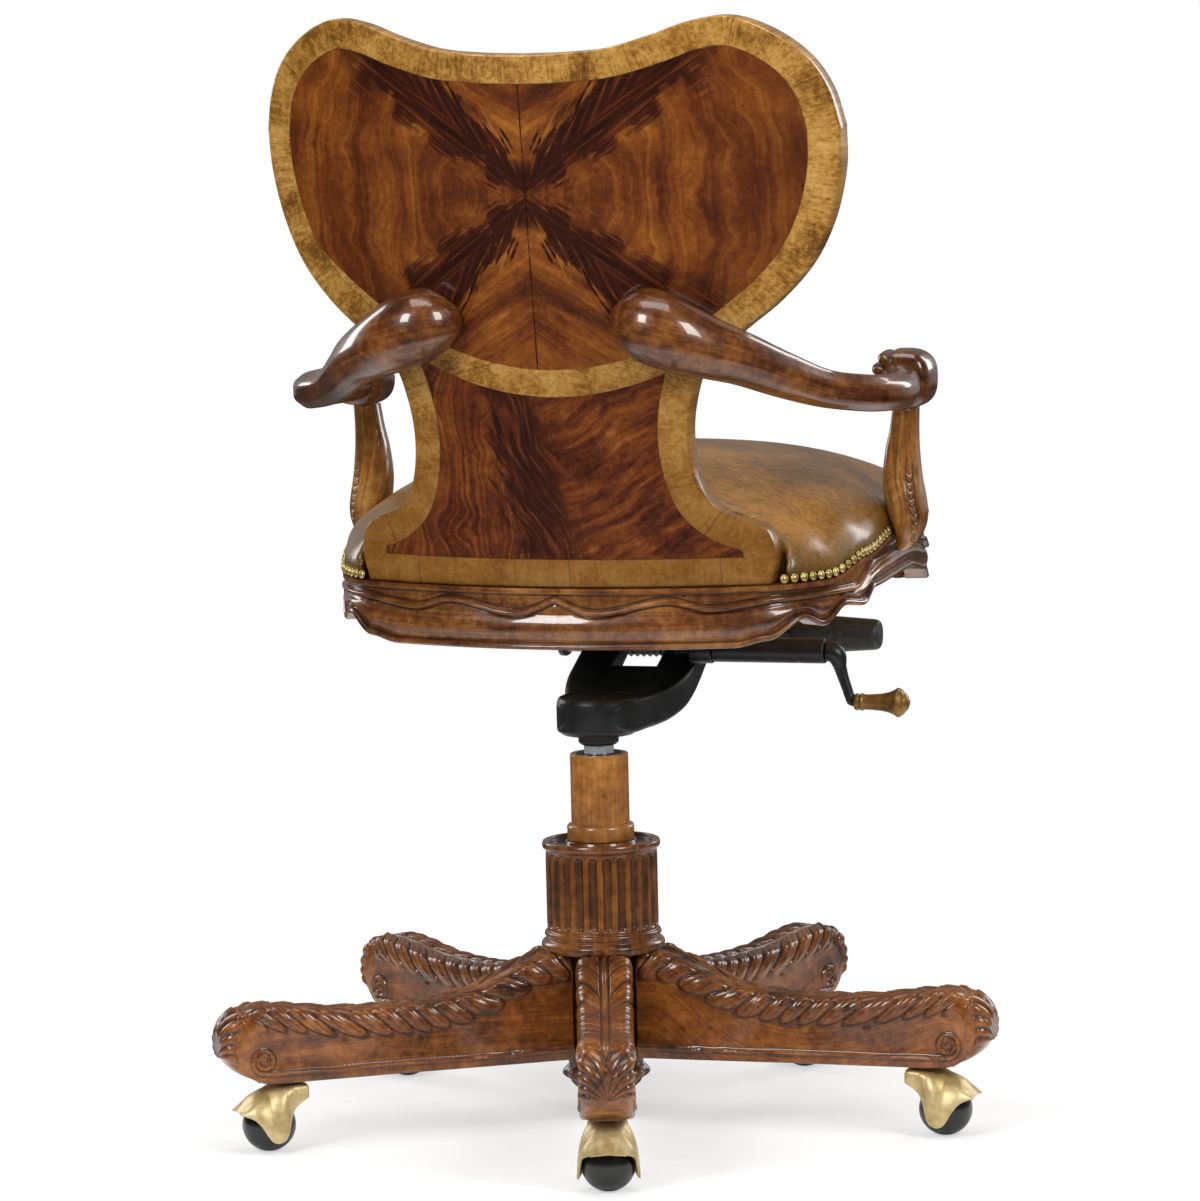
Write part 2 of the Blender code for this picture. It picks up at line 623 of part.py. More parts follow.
def build_yoke():
    """Round hub on the gas lift with two arms that rise forward to the tilt pivot."""
    hub = turned([(0.0, YOKE_BOTTOM), (YOKE_BOSS_RADIUS - 0.003, YOKE_BOTTOM),
                  (YOKE_BOSS_RADIUS, YOKE_BOTTOM + 0.003), (YOKE_BOSS_RADIUS, YOKE_HUB_BOTTOM),
                  (YOKE_HUB_RADIUS - 0.006, YOKE_HUB_BOTTOM), (YOKE_HUB_RADIUS, YOKE_HUB_BOTTOM + 0.005),
                  (YOKE_HUB_RADIUS, YOKE_TOP - 0.003), (YOKE_HUB_RADIUS - 0.003, YOKE_TOP),
                  (0.0, YOKE_TOP)], 20)
    yoke = add("tilt_yoke", hub, "black_steel")
    steps = 6
    start = YOKE_HUB_RADIUS * 0.35
    top = []
    bottom = []
    low_end = YOKE_HUB_BOTTOM + 0.002
    high_start = YOKE_TOP - 0.006
    for i in range(steps + 1):
        share = i / steps
        forward = start + (PIVOT_FORWARD - start) * share
        high_rise = PIVOT_Z + PIVOT_BARREL_RADIUS * 0.95 - high_start
        low_rise = PIVOT_Z - PIVOT_BARREL_RADIUS * 0.95 - low_end
        top.append((-forward, high_start + high_rise * share ** 1.8))
        bottom.append((-forward, low_end + low_rise * share ** 2.2))
    side = top + list(reversed(bottom))
    for sign in (-1.0, 1.0):
        inner = sign * YOKE_ARM_INNER
        outer = sign * (YOKE_ARM_INNER + YOKE_ARM_WIDTH)
        low, high = min(inner, outer), max(inner, outer)
        boolean(yoke, add("yoke_arm", slab(side, low, high, plane="YZ"), "black_steel"), "UNION")
        barrel = rod(PIVOT_BARREL_RADIUS, low - BARREL_PROUD, high + BARREL_PROUD, 16, "X",
                     (0.0, -PIVOT_FORWARD, PIVOT_Z))
        boolean(yoke, add("yoke_barrel", barrel, "black_steel"), "UNION")
    bore = rod(CYLINDER_RADIUS + PIN_GAP, YOKE_BOTTOM - 0.01, YOKE_TOP - YOKE_ROOF, 16)
    boolean(yoke, add("yoke_bore", bore, "black_steel"))
    hole = rod(PIVOT_PIN_RADIUS + PIN_GAP, -PLATE_HALF_WIDTH, PLATE_HALF_WIDTH, 16, "X",
               (0.0, -PIVOT_FORWARD, PIVOT_Z))
    boolean(yoke, add("yoke_hole", hole, "black_steel"))


def build_plate():
    """Channel of bent steel: a flat top and a flange down each side."""
    w = PLATE_HALF_WIDTH
    t = PLATE_THICKNESS
    low = PLATE_BOTTOM - FLANGE_DROP
    section = [(-w, low), (-w + t, low), (-w + t, PLATE_BOTTOM), (w - t, PLATE_BOTTOM), (w - t, low),
               (w, low), (w, PLATE_TOP), (-w, PLATE_TOP)]
    bm = slab(section, PLATE_REAR, PLATE_FRONT, plane="YZ")
    # The section is drawn across the chair, so the piece is turned to run front to back.
    bmesh.ops.rotate(bm, verts=bm.verts, matrix=Matrix.Rotation(-math.pi / 2.0, 3, "Z"))
    plate = add("seat_plate", bm, "black_steel", origin=(0.0, -PIVOT_FORWARD, PIVOT_Z))
    cuts = [(PIVOT_PIN_RADIUS + PIN_GAP, PIVOT_FORWARD, PIVOT_Z, -w - 0.01, w + 0.01),
            (CRANK_SHAFT_RADIUS + PIN_GAP, CRANK_FORWARD, CRANK_Z, -w - 0.01, -w + 0.01),
            (LEVER_ROD_RADIUS + LEVER_HOLE_GAP, LEVER_FORWARD, LEVER_Z, -w - 0.01, -w + 0.01)]
    for radius, forward, height, left, right in cuts:
        hole = rod(radius, left, right, 16, "X", (0.0, -forward, height))
        boolean(plate, add("plate_hole", hole, "black_steel"))
    pin = rod(PIVOT_PIN_RADIUS, -w, w, 16, "X", (0.0, -PIVOT_FORWARD, PIVOT_Z))
    add("pivot_pin", pin, "zinc", origin=(0.0, -PIVOT_FORWARD, PIVOT_Z))


def build_spring():
    """One unbroken coil on the pivot pin, between the arms of the yoke."""
    radius = PIVOT_PIN_RADIUS + 2.0 * GAP + SPRING_WIRE_RADIUS
    length = 2.0 * (YOKE_ARM_INNER - BARREL_PROUD - SPRING_WIRE_RADIUS - GAP)
    per_turn = 8
    total = SPRING_TURNS * per_turn
    rings = []
    for i in range(total + 1):
        angle = 2.0 * math.pi * i / per_turn
        centre = Vector((-length / 2.0 + length * i / total, radius * math.cos(angle),
                         radius * math.sin(angle)))
        out = Vector((0.0, math.cos(angle), math.sin(angle)))
        along = Vector((1.0, 0.0, 0.0))
        points = []
        for k in range(5):
            a = 2.0 * math.pi * k / 5.0
            points.append(centre + SPRING_WIRE_RADIUS * (out * math.cos(a) + along * math.sin(a)))
        rings.append(points)
    gap = length / SPRING_TURNS - 2.0 * SPRING_WIRE_RADIUS
    print("tilt spring: least gap between turns %.4f m" % gap)
    bm = loft(rings)
    bmesh.ops.translate(bm, verts=bm.verts, vec=(0.0, -PIVOT_FORWARD, PIVOT_Z))
    add("tilt_spring", bm, "zinc")


def build_bearers():
    """Two hardwood bearers and a tie between them, screwed between the plate and the deck."""
    outer = PLATE_HALF_WIDTH - PLATE_THICKNESS
    inner = outer - BEARER_WIDTH
    middle = -(PLATE_FRONT + PLATE_REAR) / 2.0
    front = middle - BEARER_LENGTH / 2.0
    rear = middle + BEARER_LENGTH / 2.0
    tie = BEARER_TIE / 2.0
    top = BEARER_BOTTOM + BEARER_HEIGHT
    outline = [(inner, middle - tie), (inner, front), (outer, front), (outer, rear), (inner, rear),
               (inner, middle + tie), (-inner, middle + tie), (-inner, rear), (-outer, rear),
               (-outer, front), (-inner, front), (-inner, middle - tie)]
    add("seat_bearer", slab(outline, BEARER_BOTTOM, top), "plywood", smooth_angle=20.0)


def tube_along(points, radii, sides=12):
    """A round bar along points, its sections kept square to the path."""
    rings = []
    up = Vector((0.0, 0.0, 1.0))
    for i, point in enumerate(points):
        ahead = points[min(i + 1, len(points) - 1)]
        behind = points[max(i - 1, 0)]
        way = (ahead - behind).normalized()
        side = way.cross(up)
        if side.length < 0.05:
            side = way.cross(Vector((0.0, 1.0, 0.0)))
        side.normalize()
        lift = side.cross(way)
        row = []
        for k in range(sides):
            a = 2.0 * math.pi * k / sides
            row.append(point + radii[i] * (side * math.cos(a) + lift * math.sin(a)))
        rings.append(row)
    return loft(rings)


def crank_elbow():
    """Where the crank's arm leaves its shaft, on the sitter's right."""
    return PLATE_HALF_WIDTH + GAP + CRANK_TUBE_LENGTH + 0.006


def build_crank():
    y = -CRANK_FORWARD
    inner = -(PLATE_HALF_WIDTH + GAP)
    outer = inner - CRANK_TUBE_LENGTH
    tube = ring(CRANK_SHAFT_RADIUS + PIN_GAP, CRANK_TUBE_RADIUS, outer, inner, 16, "X", (0.0, y, CRANK_Z))
    add("crank_tube", tube, "black_steel")
    elbow = crank_elbow()
    start = PLATE_HALF_WIDTH - CRANK_SHAFT_INSIDE
    end = elbow + CRANK_ARM_REACH
    low = CRANK_Z - CRANK_THROW
    r = CRANK_SHAFT_RADIUS
    path = [(start, CRANK_Z), (elbow - 0.002, CRANK_Z), (elbow + 0.005, CRANK_Z - 0.002),
            (elbow + 0.010, CRANK_Z - 0.008), (elbow + 0.012, CRANK_Z - 0.016),
            (end - 0.007, low + 0.012), (end - 0.004, low + 0.004), (end + 0.002, low),
            (end + CRANK_PIN_LENGTH, low)]
    radii = [r, r, r, r, r * 0.95, r * 0.82, r * 0.80, CRANK_PIN_RADIUS, CRANK_PIN_RADIUS]
    points = [Vector((-s, y, z)) for s, z in path]
    arm = tube_along(points, radii)
    add("crank_arm", arm, "black_steel", origin=(-elbow, y, CRANK_Z))
    knob_in = end + 0.0035
    n = KNOB_NECK_RADIUS
    bore = CRANK_PIN_RADIUS + PIN_GAP
    tip = CRANK_PIN_LENGTH - 0.0035 + GAP
    flare = KNOB_LENGTH * 0.80
    profile = [(bore, 0.0), (n, 0.0), (n + 0.0005, 0.004), (n, 0.008), (n + 0.0015, KNOB_LENGTH * 0.4),
               (KNOB_RADIUS - 0.003, flare - 0.008), (KNOB_RADIUS, flare),
               (KNOB_RADIUS - 0.001, flare + 0.004), (n + 0.001, KNOB_LENGTH - 0.002),
               (0.0, KNOB_LENGTH), (0.0, tip), (bore, tip)]
    knob = turned(profile, 16)
    bmesh.ops.rotate(knob, verts=knob.verts, matrix=Matrix.Rotation(-math.pi / 2.0, 3, "Y"))
    place = (-knob_in, y, low)
    bmesh.ops.translate(knob, verts=knob.verts, vec=place)
    add("crank_knob", knob, "brass", origin=place)


def build_lever():
    y = -LEVER_FORWARD
    pivot = PLATE_HALF_WIDTH - PLATE_THICKNESS / 2.0
    start = pivot - LEVER_INSIDE
    end = PLATE_HALF_WIDTH + LEVER_LENGTH
    low = -end
    lever = rod(LEVER_ROD_RADIUS, low, -start, 16, "X", (0.0, y, LEVER_Z))
    add("height_lever", lever, "black_steel", origin=(-pivot, y, LEVER_Z))
    far = end + 0.010
    near = far - GRIP_LENGTH
    bore = LEVER_ROD_RADIUS + PIN_GAP
    depth = end - near + GAP
    profile = [(bore, 0.0), (GRIP_RADIUS - 0.005, 0.0), (GRIP_RADIUS - 0.001, 0.006),
               (GRIP_RADIUS, GRIP_LENGTH * 0.35), (GRIP_END_RADIUS + 0.001, GRIP_LENGTH - 0.004),
               (GRIP_END_RADIUS - 0.002, GRIP_LENGTH), (0.0, GRIP_LENGTH), (0.0, depth), (bore, depth)]
    grip = turned(profile, 16)
    bmesh.ops.rotate(grip, verts=grip.verts, matrix=Matrix.Rotation(-math.pi / 2.0, 3, "Y"))
    bmesh.ops.translate(grip, verts=grip.verts, vec=(-near, y, LEVER_Z))
    add("lever_grip", grip, "nylon", origin=(-pivot, y, LEVER_Z))


# Seat frame and cushion


def panel_y(x, z):
    """Rear face of the back: leaning back and bowed round the sitter."""
    return PANEL_FOOT_Y + PANEL_LEAN * (z - PANEL_BOTTOM) - x * x / (2.0 * PANEL_BARREL_RADIUS)


def seat_half_plan():
    """Outer edge of the rails from the middle of the rear to the middle of the front, x >= 0."""
    half = SEAT_WIDTH / 2.0
    points = []
    for share in (0.0, 0.2, 0.4, 0.6, 0.76):
        x = half * share
        points.append((x, SEAT_REAR - x * x / (2.0 * PANEL_BARREL_RADIUS)))
    shape = [(0.868, 0.142), (0.941, 0.216), (0.986, 0.305), (1.0, 0.405), (0.998, 0.505),
             (0.994, 0.600), (0.988, 0.705), (0.968, 0.830), (0.925, 0.915), (0.830, 0.958),
             (0.600, 0.968), (0.300, 0.988), (0.0, 1.0)]
    points += [(half * a, SEAT_REAR - SEAT_DEPTH * b) for a, b in shape]
    return points


def seat_plan(count=48):
    """Even points and outward directions from the rear middle (0) to the front middle (1)."""
    curve = smooth_curve([(x, y, 0.0) for x, y in seat_half_plan()], 8)
    points = resample(curve, count)
    rows = []
    for i, point in enumerate(points):
        ahead = points[min(i + 1, count - 1)]
        behind = points[max(i - 1, 0)]
        way = (ahead - behind).normalized()
        if i in (0, count - 1):
            way = Vector((1.0, 0.0, 0.0)) if i == 0 else Vector((-1.0, 0.0, 0.0))
        out = Vector((-way.y, way.x, 0.0))
        rows.append((i / (count - 1), point, out))
    return rows


def rail_top(t):
    rise = RAIL_SIDE_RISE
    return RAIL_TOP + between([(0.0, 0.0), (0.31, 0.0), (0.39, rise * 0.55), (0.50, rise),
                               (0.72, rise * 0.9), (1.0, rise * 0.75)], t)


def rail_bottom(t):
    rear = RAIL_TOP - RAIL_REAR_DEPTH
    side = RAIL_TOP + RAIL_SIDE_RISE - RAIL_SIDE_DEPTH
    front = RAIL_TOP + RAIL_SIDE_RISE * 0.75 - RAIL_FRONT_DEPTH
    dip = RAIL_DIP
    return between([(0.0, rear), (0.18, rear), (0.26, rear + dip), (0.37, side - dip),
                    (0.42, side), (0.58, side), (0.68, side - dip / 0.6), (0.78, front + dip),
                    (0.88, front + 2.0 * dip), (1.0, front)], t)


def plan_at(t, rows):
    last = len(rows) - 1
    k = min(int(t * last), last - 1)
    share = t * last - k
    point = rows[k][1].lerp(rows[k + 1][1], share)
    out = rows[k][2].lerp(rows[k + 1][2], share).normalized()
    return point, out


def rail_ring(t, point, out, mirror):
    """Moulded section of a rail: a bead near the top, a hollow, and a lip along the bottom."""
    high = rail_top(t)
    low = rail_bottom(t)
    tall = high - low
    fillet = high - RAIL_FILLET
    ease = RAIL_EASE
    section = [(-RAIL_THICKNESS, high), (-ease, high), (0.0, high - ease / 0.6), (0.0, fillet),
               (ease / 3.0 - RAIL_COVE, fillet - ease * 2.0), (-RAIL_COVE, high - tall * 0.45),
               (-ease * 0.7, low + tall * 0.26), (0.0, low + RAIL_BEAD), (-ease, low + RAIL_BEAD * 0.55),
               (-ease * 0.7, low), (-RAIL_THICKNESS, low)]
    points = []
    for offset, height in section:
        spot = point + out * offset
        points.append(Vector((spot.x * mirror, spot.y, height)))
    return points


def rail_stations():
    """Places along half the plan for the rear, side and front rails, with a gap between them."""
    rows = seat_plan()
    length = sum((b[1] - a[1]).length for a, b in zip(rows, rows[1:]))
    cut = GAP / 2.0 / length

    def spread(start, end, count):
        return [start + (end - start) * i / (count - 1) for i in range(count)]

    rear = REAR_CORNER_SHARE
    front = FRONT_CORNER_SHARE
    return (spread(0.0, rear - cut, 7), spread(rear + cut, front - cut, 12), spread(front + cut, 1.0, 7))


def build_rails():
    rows = seat_plan()
    rear_t, side_t, front_t = rail_stations()
    left_side = [rail_ring(t, *plan_at(t, rows), 1.0) for t in rear_t]
    right_side = [rail_ring(t, *plan_at(t, rows), -1.0) for t in rear_t[1:]]
    add("rear_rail", loft(list(reversed(right_side)) + left_side), "mahogany", smooth_angle=25.0)
    for name, mirror in (("left_rail", 1.0), ("right_rail", -1.0)):
        rings = [rail_ring(t, *plan_at(t, rows), mirror) for t in side_t]
        add(name, loft(rings), "mahogany", smooth_angle=25.0)
    left_side = [rail_ring(t, *plan_at(t, rows), 1.0) for t in front_t]
    right_side = [rail_ring(t, *plan_at(t, rows), -1.0) for t in front_t[:-1]]
    add("front_rail", loft(left_side + list(reversed(right_side))), "mahogany", smooth_angle=25.0)


def full_plan(inset):
    """Closed outline of the seat, set in from the outer edge of the rails, on the rails' stations."""
    rows = seat_plan()
    rear_t, side_t, front_t = rail_stations()
    half = []
    for t in rear_t + side_t[1:] + front_t[1:]:
        point, out = plan_at(t, rows)
        half.append((t, point - out * inset))
    left = [(t, Vector((p.x, p.y, 0.0))) for t, p in half]
    left[0] = (0.0, Vector((0.0, left[0][1].y, 0.0)))
    left[-1] = (1.0, Vector((0.0, left[-1][1].y, 0.0)))
    right = [(t, Vector((-p.x, p.y, 0.0))) for t, p in reversed(left[1:-1])]
    return left + right


def build_seat():
    inset = RAIL_THICKNESS + 2.0 * GAP
    outline = [tuple(p.xy) for _, p in full_plan(inset)]
    add("seat_deck", slab(outline, DECK_BOTTOM, DECK_TOP), "plywood", smooth_angle=20.0)

    floor = DECK_TOP + GAP
    edge = CUSHION_SET_IN
    crown_top = RAIL_TOP + RAIL_SIDE_RISE + CUSHION_CROWN
    centre = Vector((0.0, SEAT_REAR - SEAT_DEPTH * 0.5, 0.0))
    rings = []
    for share in (0.35, 0.80):
        rings.append([Vector(centre).lerp(p, share) + Vector((0.0, 0.0, floor))
                      for _, p in full_plan(inset)])
    rings.append([p + Vector((0.0, 0.0, floor)) for _, p in full_plan(inset + 0.002)])
    for side_rise, inward in ((0.0, inset - edge + 0.002), (0.0, 0.0), (0.35, -0.001), (1.0, 0.002)):
        rings.append([hold_back(p + Vector((0.0, 0.0, rail_top(t) + GAP + CUSHION_SIDE * side_rise)))
                      for t, p in full_plan(edge + inward)])
    for share in (0.93, 0.82, 0.66, 0.46, 0.24):
        row = []
        for t, p in full_plan(edge + 0.002):
            side = rail_top(t) + GAP + CUSHION_SIDE
            height = side + (crown_top - side) * (1.0 - share ** 2.4) ** 0.9
            row.append(hold_back(Vector(centre).lerp(p, share) + Vector((0.0, 0.0, height))))
        rings.append(row)
    add("seat_cushion", loft(rings), "leather")


def hold_back(point):
    """Keeps the cushion in front of the panel's foot."""
    foot = max(x for x, z in panel_side()[:4])
    if abs(point.x) < foot + CUSHION_WRAP and point.y > 0.0:
        limit = panel_y(point.x, point.z) - PANEL_THICKNESS - CUSHION_BACK_GAP
        point.y = min(point.y, limit)
    return point


# Back


def panel_side():
    """Right-hand edge of the panel from its foot to its shoulder, x > 0."""
    half = PANEL_WIDTH / 2.0
    tall = PANEL_HEIGHT
    shape = [(0.707, 0.0), (0.725, 0.043), (0.721, 0.075), (0.692, 0.104), (0.601, 0.122),
             (0.528, 0.153), (0.490, 0.204), (PANEL_WAIST, 0.270), (0.497, 0.333), (0.536, 0.388),
             (0.612, 0.426), (0.678, 0.455), (0.783, 0.501), (0.885, 0.564), (0.954, 0.640),
             (0.993, 0.725), (1.0, 0.801)]
    return [(half * a, tall * b) for a, b in shape]


def panel_top():
    """Top edge from the shoulder over the lobe to the dip in the middle."""
    half = PANEL_WIDTH / 2.0
    tall = PANEL_HEIGHT
    shape = [(1.0, 0.801), (0.971, 0.867), (0.911, 0.924), (0.810, 0.970), (0.687, 0.9965),
             (0.565, 0.990), (0.437, 0.967), (0.291, 0.946), (0.146, 0.939), (0.0, 0.937)]
    return [(half * a, tall * b) for a, b in shape]


class PanelPatch:
    """Smooth patch between the foot, the two sides and the top edge of the back panel."""

    def __init__(self, columns, rows):
        side = smooth_curve([(x, 0.0, z) for x, z in panel_side()], 6)
        top = smooth_curve([(x, 0.0, z) for x, z in panel_top()], 6)
        self.side = resample(side, rows + 1)
        half = resample(top, columns // 2 + 1)
        mirrored = [Vector((-p.x, 0.0, p.z)) for p in half]
        self.top = mirrored + list(reversed(half[:-1]))
        foot = panel_side()[0][0]
        self.foot = [Vector((-foot + 2.0 * foot * i / columns, 0.0, 0.0)) for i in range(columns + 1)]
        self.columns = columns
        self.rows = rows

    def at(self, i, j):
        u = i / self.columns
        v = j / self.rows
        right = self.side[j]
        left = Vector((-right.x, 0.0, right.z))
        low_left, low_right = self.foot[0], self.foot[-1]
        high_left, high_right = self.top[0], self.top[-1]
        edges = self.foot[i] * (1.0 - v) + self.top[i] * v + left * (1.0 - u) + right * u
        corners = (low_left * (1.0 - u) * (1.0 - v) + low_right * u * (1.0 - v)
                   + high_left * (1.0 - u) * v + high_right * u * v)
        return edges - corners


def panel_solid(columns, rows, thickness, offset):
    """The bent panel between two faces, grown by offset behind it and round its waist."""
    patch = PanelPatch(columns, rows)
    widen = 1.0 + 2.0 * offset / (PANEL_WIDTH * PANEL_WAIST)
    bm = bmesh.new()
    faces = {}
    for layer, depth in ((0, -offset), (1, thickness - offset)):
        for j in range(rows + 1):
            for i in range(columns + 1):
                p = patch.at(i, j)
                x = p.x * widen
                z = PANEL_BOTTOM + p.z
                faces[layer, i, j] = bm.verts.new((x, panel_y(x, z) - depth, z))
    for j in range(rows):
        for i in range(columns):
            rear = [faces[0, i, j], faces[0, i + 1, j], faces[0, i + 1, j + 1], faces[0, i, j + 1]]
            bm.faces.new(rear)
            bm.faces.new([faces[1, a, b] for a, b in ((i, j), (i, j + 1), (i + 1, j + 1), (i + 1, j))])
    border = [(i, 0) for i in range(columns)] + [(columns, j) for j in range(rows)]
    border += [(i, rows) for i in range(columns, 0, -1)] + [(0, j) for j in range(rows, 0, -1)]
    for k, here in enumerate(border):
        there = border[(k + 1) % len(border)]
        bm.faces.new((faces[0, *here], faces[1, *here], faces[1, *there], faces[0, *there]))
    bmesh.ops.triangulate(bm, faces=bm.faces, quad_method="FIXED")
    return bm


def build_back():
    panel = panel_solid(PANEL_COLUMNS, PANEL_ROWS, PANEL_THICKNESS, 0.0)
    add("back_panel", panel, "veneer", smooth_angle=35.0)

    columns = PAD_COLUMNS
    rows = PAD_ROWS
    patch = PanelPatch(columns + 2, rows + 4)
    bm = bmesh.new()
    grid = {}
    for layer in (0, 1):
        for j in range(rows + 1):
            for i in range(columns + 1):
                p = patch.at(i + 1, j + 3)
                z = PANEL_BOTTOM + p.z
                u = 2.0 * i / columns - 1.0
                v = 2.0 * j / rows - 1.0
                crown = (1.0 - u ** 4) * (1.0 - v ** 4)
                rise = PAD_EDGE + (PAD_THICKNESS - PAD_EDGE) * crown if layer else 0.0
                y = panel_y(p.x, z) - PANEL_THICKNESS - 2.0 * GAP - rise
                grid[layer, i, j] = bm.verts.new((p.x * 0.975, y, z))
    for j in range(rows):
        for i in range(columns):
            bm.faces.new([grid[0, a, b] for a, b in ((i, j), (i + 1, j), (i + 1, j + 1), (i, j + 1))])
            bm.faces.new([grid[1, a, b] for a, b in ((i, j), (i, j + 1), (i + 1, j + 1), (i + 1, j))])
    border = [(i, 0) for i in range(columns)] + [(columns, j) for j in range(rows)]
    border += [(i, rows) for i in range(columns, 0, -1)] + [(0, j) for j in range(rows, 0, -1)]
    for k, here in enumerate(border):
        there = border[(k + 1) % len(border)]
        bm.faces.new((grid[0, *here], grid[1, *here], grid[1, *there], grid[0, *there]))
    add("back_pad", bm, "leather")


# Arms


def rail_edge():
    """Half width of the seat rails where the arm posts stand."""
    near = [point.x for _, point, _ in seat_plan() if abs(point.y + POST_FORWARD) < POST_DEPTH]
    return max(near)


def arm_path():
    """Middle line and radius of an arm, from its knuckle on the back to the hand-hold, x > 0."""
    k = KNUCKLE_THICKNESS / 2.0
    a = ARM_THICKNESS / 2.0
    h = HANDHOLD_THICKNESS / 2.0
    z = ARM_Z
    knuckle = panel_y(KNUCKLE_X, z + KNUCKLE_RISE) + KNUCKLE_PROUD
    hold = rail_edge() + HANDHOLD_OUT
    front = -POST_FORWARD
    bow = ARM_BOW
    rows = [(KNUCKLE_X - 0.026, knuckle - 0.004, z + 0.083, k * 0.30),
            (KNUCKLE_X - 0.019, knuckle - 0.002, z + 0.082, k * 0.68),
            (KNUCKLE_X, knuckle, z + KNUCKLE_RISE, k),
            (KNUCKLE_X + 0.022, knuckle - 0.004, z + 0.070, k * 0.98),
            (KNUCKLE_X + 0.048, knuckle - 0.019, z + 0.057, k * 0.86),
            (KNUCKLE_X + 0.076, knuckle - 0.046, z + 0.044, k * 0.72),
            (KNUCKLE_X + 0.102, knuckle - 0.082, z + 0.027, a * 1.22),
            (bow - 0.046, knuckle - 0.122, z + 0.011, a * 1.03),
            (bow - 0.015, 0.013, z + 0.003, a), (bow, -0.025, z, a),
            (bow - 0.004, -0.065, z - 0.001, a * 1.04), (bow - 0.013, front + 0.042, z, a * 1.12),
            (hold, front + 0.022, z + 0.002, h * 0.80), (hold, front + 0.002, z + 0.003, h),
            (hold, front - 0.016, z + 0.002, h * 0.86), (hold, front - 0.026, z, h * 0.42)]
    return rows


def build_arms():
    for name, mirror in (("left_arm", 1.0), ("right_arm", -1.0)):
        path = smooth_curve([(x * mirror, y, z, r) for x, y, z, r in arm_path()], 2)
        points = [Vector(p[:3]) for p in path]
        radii = [p[3] for p in path]
        arm = add(name, tube_along(points, radii, 10), "mahogany")
        notch = panel_solid(PANEL_COLUMNS, PANEL_ROWS, PANEL_THICKNESS + 2.0 * GAP, GAP)
        boolean(arm, add("arm_notch", notch, "mahogany"))
        build_post(name.replace("arm", "post"), mirror)


def build_post(name, mirror):
    """Carved post from the outer face of the side rail up to the hand-hold."""
    inner = rail_edge() + GAP
    foot = RAIL_TOP - POST_FOOT_DROP
    head = ARM_Z + 0.003 - HANDHOLD_THICKNESS / 2.0 - GAP
    tall = head - foot
    w = POST_THICKNESS
    d = POST_DEPTH
    stations = [(0.0, inner + w * 0.30, w * 0.60, d * 0.50), (0.05, inner + w * 0.43, w * 0.86, d * 0.82),
                (0.16, inner + w * 0.49, w * 0.98, d), (0.30, inner + w * 0.49, w * 0.98, d * 0.96),
                (0.45, inner + w * 0.53, w, d * 0.84), (0.62, inner + w * 0.60, w * 0.90, d * 0.70),
                (0.78, inner + w * 0.62, w * 0.84, d * 0.64), (0.92, inner + w * 0.50, w * 1.05, d * 0.68),
                (1.0, inner + w * 0.45, w * 1.10, d * 0.70)]
    rings = []
    for share, x, across, along in stations:
        ring_points = []
        for k in range(12):
            a = 2.0 * math.pi * (k + 0.5) / 12.0
            px = x + across / 2.0 * max(-1.0, min(1.0, 1.15 * math.cos(a)))
            py = -POST_FORWARD + along / 2.0 * max(-1.0, min(1.0, 1.15 * math.sin(a)))
            ring_points.append(Vector((px * mirror, py, foot + tall * share)))
        rings.append(ring_points)
    add(name, loft(rings), "mahogany")


def main():
    global ROOT
    clear_scene()
    for name, (colour, roughness, metallic) in FINISHES.items():
        MATERIALS[name] = material(name, colour, roughness, metallic)
    ROOT = world_empty()
    build_base()
    build_castors()
    build_lift()
    build_yoke()
    build_plate()
    build_spring()
    build_bearers()
    build_crank()
    build_lever()
    build_rails()
    build_seat()
    build_back()
    build_arms()


main()
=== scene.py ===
import math
from functools import partial

import bmesh
import bpy
import numpy as np
from mathutils import Matrix, Vector


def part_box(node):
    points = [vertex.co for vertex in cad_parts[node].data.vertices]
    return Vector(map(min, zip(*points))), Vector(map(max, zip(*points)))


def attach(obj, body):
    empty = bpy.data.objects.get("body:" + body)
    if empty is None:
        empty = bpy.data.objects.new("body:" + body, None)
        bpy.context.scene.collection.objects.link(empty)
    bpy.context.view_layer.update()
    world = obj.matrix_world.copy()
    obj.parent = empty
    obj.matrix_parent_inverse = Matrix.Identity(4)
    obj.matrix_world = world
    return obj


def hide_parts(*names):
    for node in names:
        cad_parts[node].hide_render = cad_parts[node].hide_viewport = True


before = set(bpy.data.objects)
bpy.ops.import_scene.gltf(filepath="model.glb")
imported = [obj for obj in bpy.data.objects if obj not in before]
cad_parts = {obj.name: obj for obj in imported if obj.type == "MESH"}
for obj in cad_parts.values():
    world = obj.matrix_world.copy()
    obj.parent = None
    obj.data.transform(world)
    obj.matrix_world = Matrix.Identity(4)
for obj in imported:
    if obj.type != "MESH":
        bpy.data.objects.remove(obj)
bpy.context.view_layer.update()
cylinder_low, cylinder_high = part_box("gas_cylinder")
COLUMN = Vector(((cylinder_low.x + cylinder_high.x) / 2.0, (cylinder_low.y + cylinder_high.y) / 2.0, 0.0))

